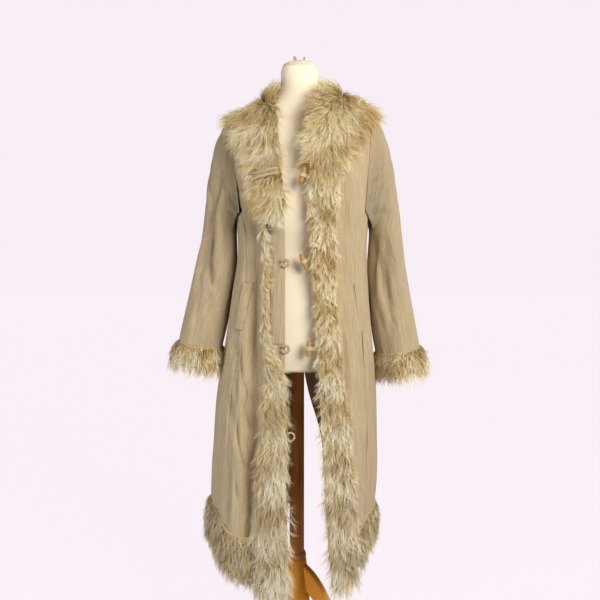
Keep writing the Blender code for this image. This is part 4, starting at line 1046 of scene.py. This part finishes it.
def shades(kind, leaders, lock, slim, rng):
    """Shade of each strand: warm from 0 to the end of the warm tones, and grey above them."""
    patches = np.zeros(len(leaders))
    for _ in range(PATCHES):
        patches += np.sin(leaders @ rng.normal(0, PATCH_SCALE, 3) + rng.uniform(0, PATCH_TURN))
    tone = np.clip(MIDDLE_SHADE + PATCH_SHADE * patches + rng.normal(0, LOCK_SHADE, len(leaders)), 0, 1)
    shade = tone[lock] * (1 - STRAND_SHADE) + STRAND_SHADE * rng.random(len(lock))
    shade = FUR[kind]["shade"] * shade + (1 - shade) * SLIM_SHADE * slim
    grey = rng.random(len(leaders)) < np.interp(leaders[:, 2], GREY_HEIGHTS, GREY_SHARES)
    return WARM_END * shade + np.where(grey, GREY_START, 0.0)[lock]


def strands(kind, surface, side, b_ends, rng):
    """Points of a piece's strands, their shade, and the way out of the cloth at each root."""
    fur = FUR[kind]
    count = fur["strands"] // 1
    s, b = scattered(surface, side, b_ends, count, rng)
    slim, lapel = slimmed(kind, surface, side, b), on_lapel(kind, surface, side, b)
    s = drawn_in(s, slim, lapel)
    normals, across = facing(surface, side, s, b, fur["sense"])
    roots = surface(side, s, b) + normals * underfur(kind, s)[:, None]
    height = roots[:, 2]
    cover = bell((height - COVER_AT) / COVER_REACH) * ((kind, side) == ("band", RIGHT))
    low, high = (fur[end][SIDES.index(side)] for end in ("low", "high"))
    lean = between(low, high, s) * (1 - slim) + SLIM_LEAN * slim + COVER_LEAN * cover
    fall = fur["fall"] - NAPE_RISE[side] * smooth((height - NAPE_LOW) / NAPE_FADE)
    comb = flattened(across * lean[:, None] - fall[:, None] * np.array([0.0, 0.0, 1.0]), normals)
    # Locks: each strand takes most of its way from the nearest of a few roots
    locks = max(count // STRANDS_IN_LOCK, 1)
    leaders = rng.choice(count, locks, replace=False)
    lock = nearest(roots, roots[leaders])
    way = unit(comb[leaders] + LOCK_STRAY * rng.normal(size=(locks, 3)))[lock]
    way = flattened(way + STRAND_STRAY * rng.normal(size=(count, 3)), normals)
    length = fur["length"] * rng.uniform(*LOCK_LENGTH, locks)[lock] * rng.uniform(*STRAND_LENGTH, count)
    length *= trimmed(kind, side, s, height, slim, lapel, cover)
    start = fur["start"] + rng.normal(0, LOCK_TILT, locks)[lock] + rng.normal(0, STRAND_TILT, count)
    start = np.radians(start * (1 - SLIM_FLATTER * slim))
    end = np.radians(fur["end"] + rng.normal(0, END_TILT, locks)[lock])
    knots = np.linspace(0, 1, STRAND_KNOTS)
    turn = start[:, None] + (end - start)[:, None] * (knots[:-1] + knots[1:]) / 2
    steps = normals[:, None] * np.sin(turn)[..., None] + way[:, None] * np.cos(turn)[..., None]
    line = np.concatenate([np.zeros((count, 1, 3)), np.cumsum(steps, axis=1)], axis=1)
    line = roots[:, None] + line * (length / (STRAND_KNOTS - 1))[:, None, None]
    # Waves and curls to the sides, then the pull towards the middle of the lock and down
    waves, phase = rng.uniform(*WAVES, locks)[lock][:, None], rng.random(locks)[lock][:, None]
    aside = np.sin(2 * math.pi * (waves * knots + phase))
    aside *= rng.uniform(*WAVE_DEPTH, locks)[lock][:, None] * knots
    aside += length[:, None] * (CURL * rng.normal(size=locks))[lock][:, None] * knots**2
    line += np.cross(normals, way)[:, None] * aside[..., None]
    gather = rng.uniform(*GATHER, locks)[lock][:, None] * knots**GATHER_POWER
    line -= (roots - roots[leaders][lock])[:, None] * gather[..., None]
    line[..., 2] -= length[:, None] * STRAND_SAG * knots**2
    shade = shades(kind, roots[leaders], lock, slim, rng)
    apart = np.hypot(line[..., None, 0] - PARTINGS["x"], line[..., None, 2] - PARTINGS["z"])
    kept = ((apart > PARTINGS["radius"]) | (line[..., None, 1] > 0)).all(axis=(1, 2))
    return line[kept], shade[kept], normals[kept]


def add_pile(name, line, shade, normals, rng):
    """Tapering ribbons along the strands."""
    count = len(line)
    ways = unit(np.gradient(line, axis=1))
    out = unit(normals + RIBBON_TWIST * rng.normal(size=normals.shape))
    knots = np.linspace(0, 1, STRAND_KNOTS)
    half = STRAND_WIDTH / 2 * (1 - RIBBON_TAPER * knots[:-1] ** TAPER_POWER)
    half = half * rng.uniform(*RIBBON_SPREAD, (count, 1))
    edge = unit(np.cross(ways, out[:, None]))[:, :-1] * half[..., None]
    pairs = np.stack([line[:, :-1] - edge, line[:, :-1] + edge], axis=2).reshape(count, -1, 3)
    points = np.concatenate([pairs, line[:, -1:]], axis=1)
    each = points.shape[1]
    along = np.append(np.repeat(knots[:-1], 2), 1.0)
    uv = np.stack([np.repeat(shade, each), np.tile(along, count)], axis=-1)
    base = np.arange(count)[:, None] * each
    quads = [base + np.array([2 * i, 2 * i + 1, 2 * i + 3, 2 * i + 2]) for i in range(STRAND_KNOTS - 2)]
    tips = base + np.array([each - 3, each - 2, each - 1])
    return add_mesh(name, points.reshape(-1, 3), [np.concatenate(quads), tips], FUR_HAIR, uv, "OFBake")


def add_fur(name, kind, surface, side, b_ends):
    """A fur trim: its backing with dense underfur, and its long hair."""
    sense, rng = FUR[kind]["sense"], np.random.default_rng(FUR[kind]["seed"] + side)
    s, b = np.meshgrid(np.linspace(0, 1, FUR_COLUMNS), np.linspace(*b_ends, FUR_ROWS))
    s = drawn_in(s, slimmed(kind, surface, side, b), on_lapel(kind, surface, side, b))
    outer = moved(surface, side, s, b, underfur(kind, s), sense)
    inner = moved(surface, side, s, b, np.full_like(s, LIFT), sense)
    backing = add_wall(name, outer, inner, UNDERFUR)
    hair = add_pile(f"{name}_hair", *strands(kind, surface, side, b_ends, rng), rng)
    stand_for(backing)


def build_fur():
    for side in SIDES:
        name = name_of(side)
        add_fur(f"collar_{name}", "collar", collar, side, (0, COLLAR_END))
        add_fur(f"fur_band_{name}", "band", band, side, (BAND_FOOT, BAND_TOP[side]))
        add_fur(f"fur_hem_{name}", "hem", hem, side, (TRIM, 3))
        add_fur(f"fur_cuff_{name}", "cuff", cuff, side, (0, 1))


def add_patch(name, surface, side, a, b, thick, sense):
    """A flat trim that lies on the creased cloth, with its edges pressed down and stitched."""
    points = surface(side, a, b)
    normals, _ = facing(surface, side, a, b, sense)
    uv = cloth_map(points)
    to_sides = np.minimum(uv[..., 0], uv[:, -1:, 0] - uv[..., 0])
    to_edge = np.minimum(to_sides, np.minimum(uv[..., 1], uv[-1:, :, 1] - uv[..., 1]))
    lift = LIFT + creased(points, normals)
    stitch = STITCH_DEPTH * bell((to_edge - STITCH_IN) / STITCH_WIDTH)
    top = lift + thick * between(EDGE_THICK, 1, smooth(to_edge / EDGE_REACH)) - stitch
    outer = points + normals * top[..., None]
    piece = add_wall(name, outer, points + normals * lift[..., None], CLOTH, uv)
    stand_for(piece)


def build_strip_and_welts():
    share, w = np.meshgrid(np.linspace(0, 1, STRIP_COLUMNS), np.linspace(STRIP_LOW, STRIP_HIGH, STRIP_ROWS))
    a = share * STRIP_WIDTH / front_width(RIGHT, w)
    add_patch("loop_strip", front, RIGHT, a, w, STRIP_THICK, 1)
    for side, middle, spread, low, high, thick in rows_of(WELTS):
        share, v = np.meshgrid(np.linspace(-1, 1, WELT_COLUMNS), np.linspace(low, high, WELT_ROWS))
        angle = middle + spread * (share + WELT_SLANT * ((v - low) / (high - low) - 0.5))
        name = name_of(side)
        add_patch(f"pocket_welt_{name}", ring, side, angle, v, thick, -1)


def edge_at(side, z):
    """The front edge at a height, and the way out of the cloth there."""
    w = np.linspace(0, 2, EDGE_STEPS)
    at = np.interp([z], front(side, np.zeros_like(w), w)[..., 2], w)
    normals, _ = facing(front, side, np.zeros(1), at, 1)
    return front(side, np.zeros(1), at)[0], normals[0]


def build_toggles():
    profile = [(r * TOGGLE_RADIUS, share * TOGGLE_LENGTH / 2) for r, share in TOGGLE_PROFILE]
    rings = turned(finer(profile, TOGGLE_RINGS), TOGGLE_SIDES)
    wrap, half = TOGGLE_RADIUS + LIFT + TAB_THICK / 2, TAB_THICK / 2 + LIFT / 2
    turns = np.radians(np.linspace(TAB_OPENS, 360 - TAB_OPENS, TAB_TURNS))
    edges = np.linspace(-TAB_WIDTH / 2, TAB_WIDTH / 2, TAB_COLUMNS)
    for i, (z, reach, behind, lean, swing, tail) in enumerate(rows_of(TOGGLES)):
        edge, out = edge_at(LEFT, z)
        centre = edge + np.array([-reach, 0.0, 0.0]) - out * (WALL / 2 + behind)
        toggle = add_loft(f"toggle_{i + 1}", rings, TOGGLE_WOOD)
        # The tab is one strip: along its tail, round the toggle and back
        path = [(tail, half), (wrap * TAB_NECK, half)]
        path += [(wrap * math.cos(t), wrap * math.sin(t)) for t in turns]
        path = np.array(path + [(wrap * TAB_NECK, -half), (tail, -half)])
        way = np.gradient(path, axis=0)
        normal = unit(np.stack([-way[:, 1], way[:, 0]], axis=1))
        forward = 1.0 if reach > 0 else -1.0
        faces = [path + normal * offset for offset in (TAB_THICK / 2, -TAB_THICK / 2)]
        outer, inner = (np.array([[(forward * p, q, h) for h in edges] for p, q in face]) for face in faces)
        tab = add_wall(f"toggle_tab_{i + 1}", outer, inner, TRIM_CLOTH)
        for piece in (toggle, tab):
            piece.location = centre
            piece.rotation_euler = (0.0, math.radians(lean), math.radians(swing))
            stand_for(piece)


def build_loops():
    bend = np.radians(np.linspace(-90, 90, LOOP_BEND_POINTS))
    for i, (z, reach, half, lean, before, behind, radius) in enumerate(rows_of(LOOPS)):
        edge, out = edge_at(RIGHT, z)
        cos, sin = math.cos(math.radians(lean)), math.sin(math.radians(lean))
        turn_at = reach - half
        foot = (SEAM + CORD_SUNK * CORD + LOOP_FOOT * half * abs(sin), LOOP_FOOT * half)
        neck = (LOOP_NECK_AT * turn_at + CORD, LOOP_NECK * half)
        path = [(foot[0], -foot[1]), (neck[0], -neck[1])]
        path += [(turn_at + half * math.cos(t), half * math.sin(t)) for t in bend]
        path += [neck, foot]
        place = edge + out * before - (behind, 0.0, 0.0)
        points = [place + np.array([x * cos - up * sin, 0.0, x * sin + up * cos]) for x, up in path]
        cloth = CLOTH if before > 0 else TRIM_CLOTH
        stand_for(add_cord(f"loop_{i + 2}", finer(points, LOOP_RINGS), radius, cloth))


def build_top_loop():
    """The loop that lies across the collar on the right."""
    c_line = np.linspace(0, 1, COLLAR_STEPS)
    heights = collar(RIGHT, np.zeros_like(c_line), c_line)[..., 2]
    middle = np.interp([TOP_LOOP_Z], heights, c_line)
    start_w = between(COLLAR_START[RIGHT], 2, middle)
    width = collar_reach(RIGHT, middle) * front_width(RIGHT, start_w)
    distance = np.linspace(TOP_LOOP_START, TOP_LOOP_LENGTH, TOP_LOOP_POINTS)
    bulge = TOP_LOOP_HALF + TOP_LOOP_WIDER * smooth((distance - WIDER_FROM) / WIDER_FADE)
    bend = np.radians(np.linspace(-TOP_LOOP_BEND, TOP_LOOP_BEND, TOP_LOOP_TIP_POINTS))
    tip = [(TOP_LOOP_LENGTH + bulge[-1] * math.cos(t), bulge[-1] * math.sin(t)) for t in bend]
    path = np.array([*zip(distance, -bulge), *tip, *zip(distance[::-1], bulge[::-1])])
    s, c = path[:, 0] / width, middle + path[:, 1] / (heights[-1] - heights[0])
    section = FUR_SECTIONS["collar"]
    pile = np.interp(s, section["outside"], section["rise"]) * FUR["collar"]["pile"]
    points = moved(collar, RIGHT, s, c, pile + CORD + LIFT + TOP_LOOP_LIFT, 1)
    stand_for(add_cord("loop_1", finer(points, TOP_LOOP_RINGS), CORD, TRIM_CLOTH))


def build_torso():
    across, along = rounded(np.arange(TORSO_SIDES) * 360 / TORSO_SIDES, FORM_SQUARE)
    heights = np.linspace(TORSO["z"][0], TORSO["z"][-1], TORSO_RINGS)[:, None]
    half, front_y, back_y = (spline(TORSO["z"], TORSO[key], heights) for key in ("half", "front", "back"))
    y = np.where(along < 0, front_y, back_y) * along
    torso = add_loft("form_torso", joined(half * across, y, heights), JERSEY)
    stand_for(torso)


def build_neck_cap():
    """The gathered cap on the neck and its two tie ends."""
    turns = turns_of(CAP_SIDES)
    fold = np.cos(CAP_PUCKERS * turns + PUCKER_DRIFT * np.sin(2 * turns))
    fold = fold + SMALL_PUCKERS * np.cos(2 * CAP_PUCKERS * turns + SMALL_TURN)
    radius, z = (column[:, None] for column in finer(CAP_PROFILE, CAP_RINGS).T)
    puckers = CAP_PUCKER_DEPTH * smooth((z - PUCKERS_FROM) / PUCKER_FADE) * fold
    r = radius + puckers - CAP_DIP * bell((z - CAP_PROFILE[0][1]) / CAP_DIP_REACH)
    cap = add_loft("form_neck_cap", joined(r * np.cos(turns), r * np.sin(turns), z), CAP_CLOTH)
    stand_for(cap)
    turns, share = turns_of(TIE_SIDES), np.linspace(0, 1, TIE_RINGS)[:, None]
    for i, (x, lean, height, foot_x, foot_y, tip_x, tip_y) in enumerate(rows_of(TIES)):
        across = x + math.tan(math.radians(lean)) * height * share
        across = across + between(foot_x, tip_x, share) * np.cos(turns)
        along = between(foot_y, tip_y, share) * np.sin(turns)
        z = CAP_PROFILE[-1][1] + LIFT + height * share
        stand_for(add_loft(f"form_tie_{i + 1}", joined(across, along, z), TIE_CLOTH))


def build_stand():
    pole = [(POLE_RADIUS, z) for z in np.linspace(POLE_FOOT, TORSO["z"][0] - LIFT, POLE_RINGS)]
    pieces = [
        add_loft("stand_pole", turned(pole, POLE_SIDES), POLE_WOOD),
        add_loft("stand_ring", turned(finer(RING_PROFILE, RING_RINGS), POLE_SIDES), POLE_WOOD),
        add_loft("stand_hub", turned(finer(HUB_PROFILE, HUB_RINGS), POLE_SIDES), BASE_WOOD),
    ]
    top, under = finer(LEG_TOP, LEG_RINGS), finer(LEG_UNDER, LEG_RINGS)
    middle, half = (top + under) / 2, (top - under) / 2
    up, aside = rounded(np.arange(LEG_SIDES) * 360 / LEG_SIDES, LEG_SQUARE)
    r, z = (middle[:, i, None] + half[:, i, None] * up for i in range(2))
    rings = joined(r, LEG_THICK / 2 * aside, np.maximum(z, 0.0))
    for i, degrees in enumerate(LEG_ANGLES):
        leg = add_loft(f"stand_leg_{i + 1}", rings, BASE_WOOD)
        leg.rotation_euler = (0.0, 0.0, math.radians(degrees))
        pieces.append(leg)
    for piece in pieces:
        piece.location.x = STAND_X
        stand_for(piece)


def add_light(name, place, target, size, power, colour):
    lamp = bpy.data.lights.new(name, "AREA")
    lamp.size, lamp.energy, lamp.color = size, power, colour
    made = add_object(name, lamp)
    made.location = place
    made.rotation_euler = (Vector(target) - Vector(place)).to_track_quat("-Z", "Y").to_euler()


def build_floor():
    material = bpy.data.materials.new("pale floor")
    material.use_nodes = True
    tree = material.node_tree
    shader, tint = tree.nodes["Principled BSDF"], [FLOOR_TINT * part for part in PALE[:3]] + [1.0]
    wire(tree, shader, Base_Color=tint, Roughness=FLOOR_ROUGH)
    wire(tree, shader, Emission_Color=PALE, Emission_Strength=FLOOR_GLOW)
    mesh = bpy.data.meshes.new("floor")
    corners = [(x * FLOOR_REACH, y * FLOOR_REACH, 0) for x, y in ((-1, -1), (1, -1), (1, 1), (-1, 1))]
    mesh.from_pydata(corners, [], [(0, 1, 2, 3)])
    mesh.materials.append(material)
    floor = add_object("floor", mesh)
    floor.visible_diffuse = floor.visible_glossy = False


def build_room():
    """The pale surroundings, the lights and the camera."""
    scene = bpy.context.scene
    world = bpy.data.worlds.new("room")
    world.use_nodes = True
    tree = world.node_tree
    seen = tree.nodes["Background"]
    wire(tree, seen, Color=PALE)
    glow = add_node(tree, "ShaderNodeBackground", Color=ROOM_GLOW, Strength=ROOM_LIGHT)
    rays = add_node(tree, "ShaderNodeLightPath")
    mix = tree.nodes.new("ShaderNodeMixShader")
    for socket, source in zip(mix.inputs, (rays.outputs["Is Camera Ray"], glow.outputs[0], seen.outputs[0])):
        plug(tree, source, socket)
    wire(tree, tree.nodes["World Output"], Surface=mix.outputs[0])
    scene.world = world
    for name, light in LIGHTS.items():
        add_light(name, **light)
    lens = bpy.data.cameras.new("camera")
    lens.lens, lens.sensor_width = LENS, SENSOR
    camera = add_object("camera", lens)
    camera.location = EYE
    camera.rotation_euler = (math.radians(EYE_TILT), 0.0, 0.0)
    scene.camera = camera
    scene.view_settings.view_transform = "Standard"


build_panels()
build_sleeves()
build_fur()
build_strip_and_welts()
build_toggles()
build_loops()
build_top_loop()
build_torso()
build_neck_cap()
build_stand()
build_floor()
build_room()
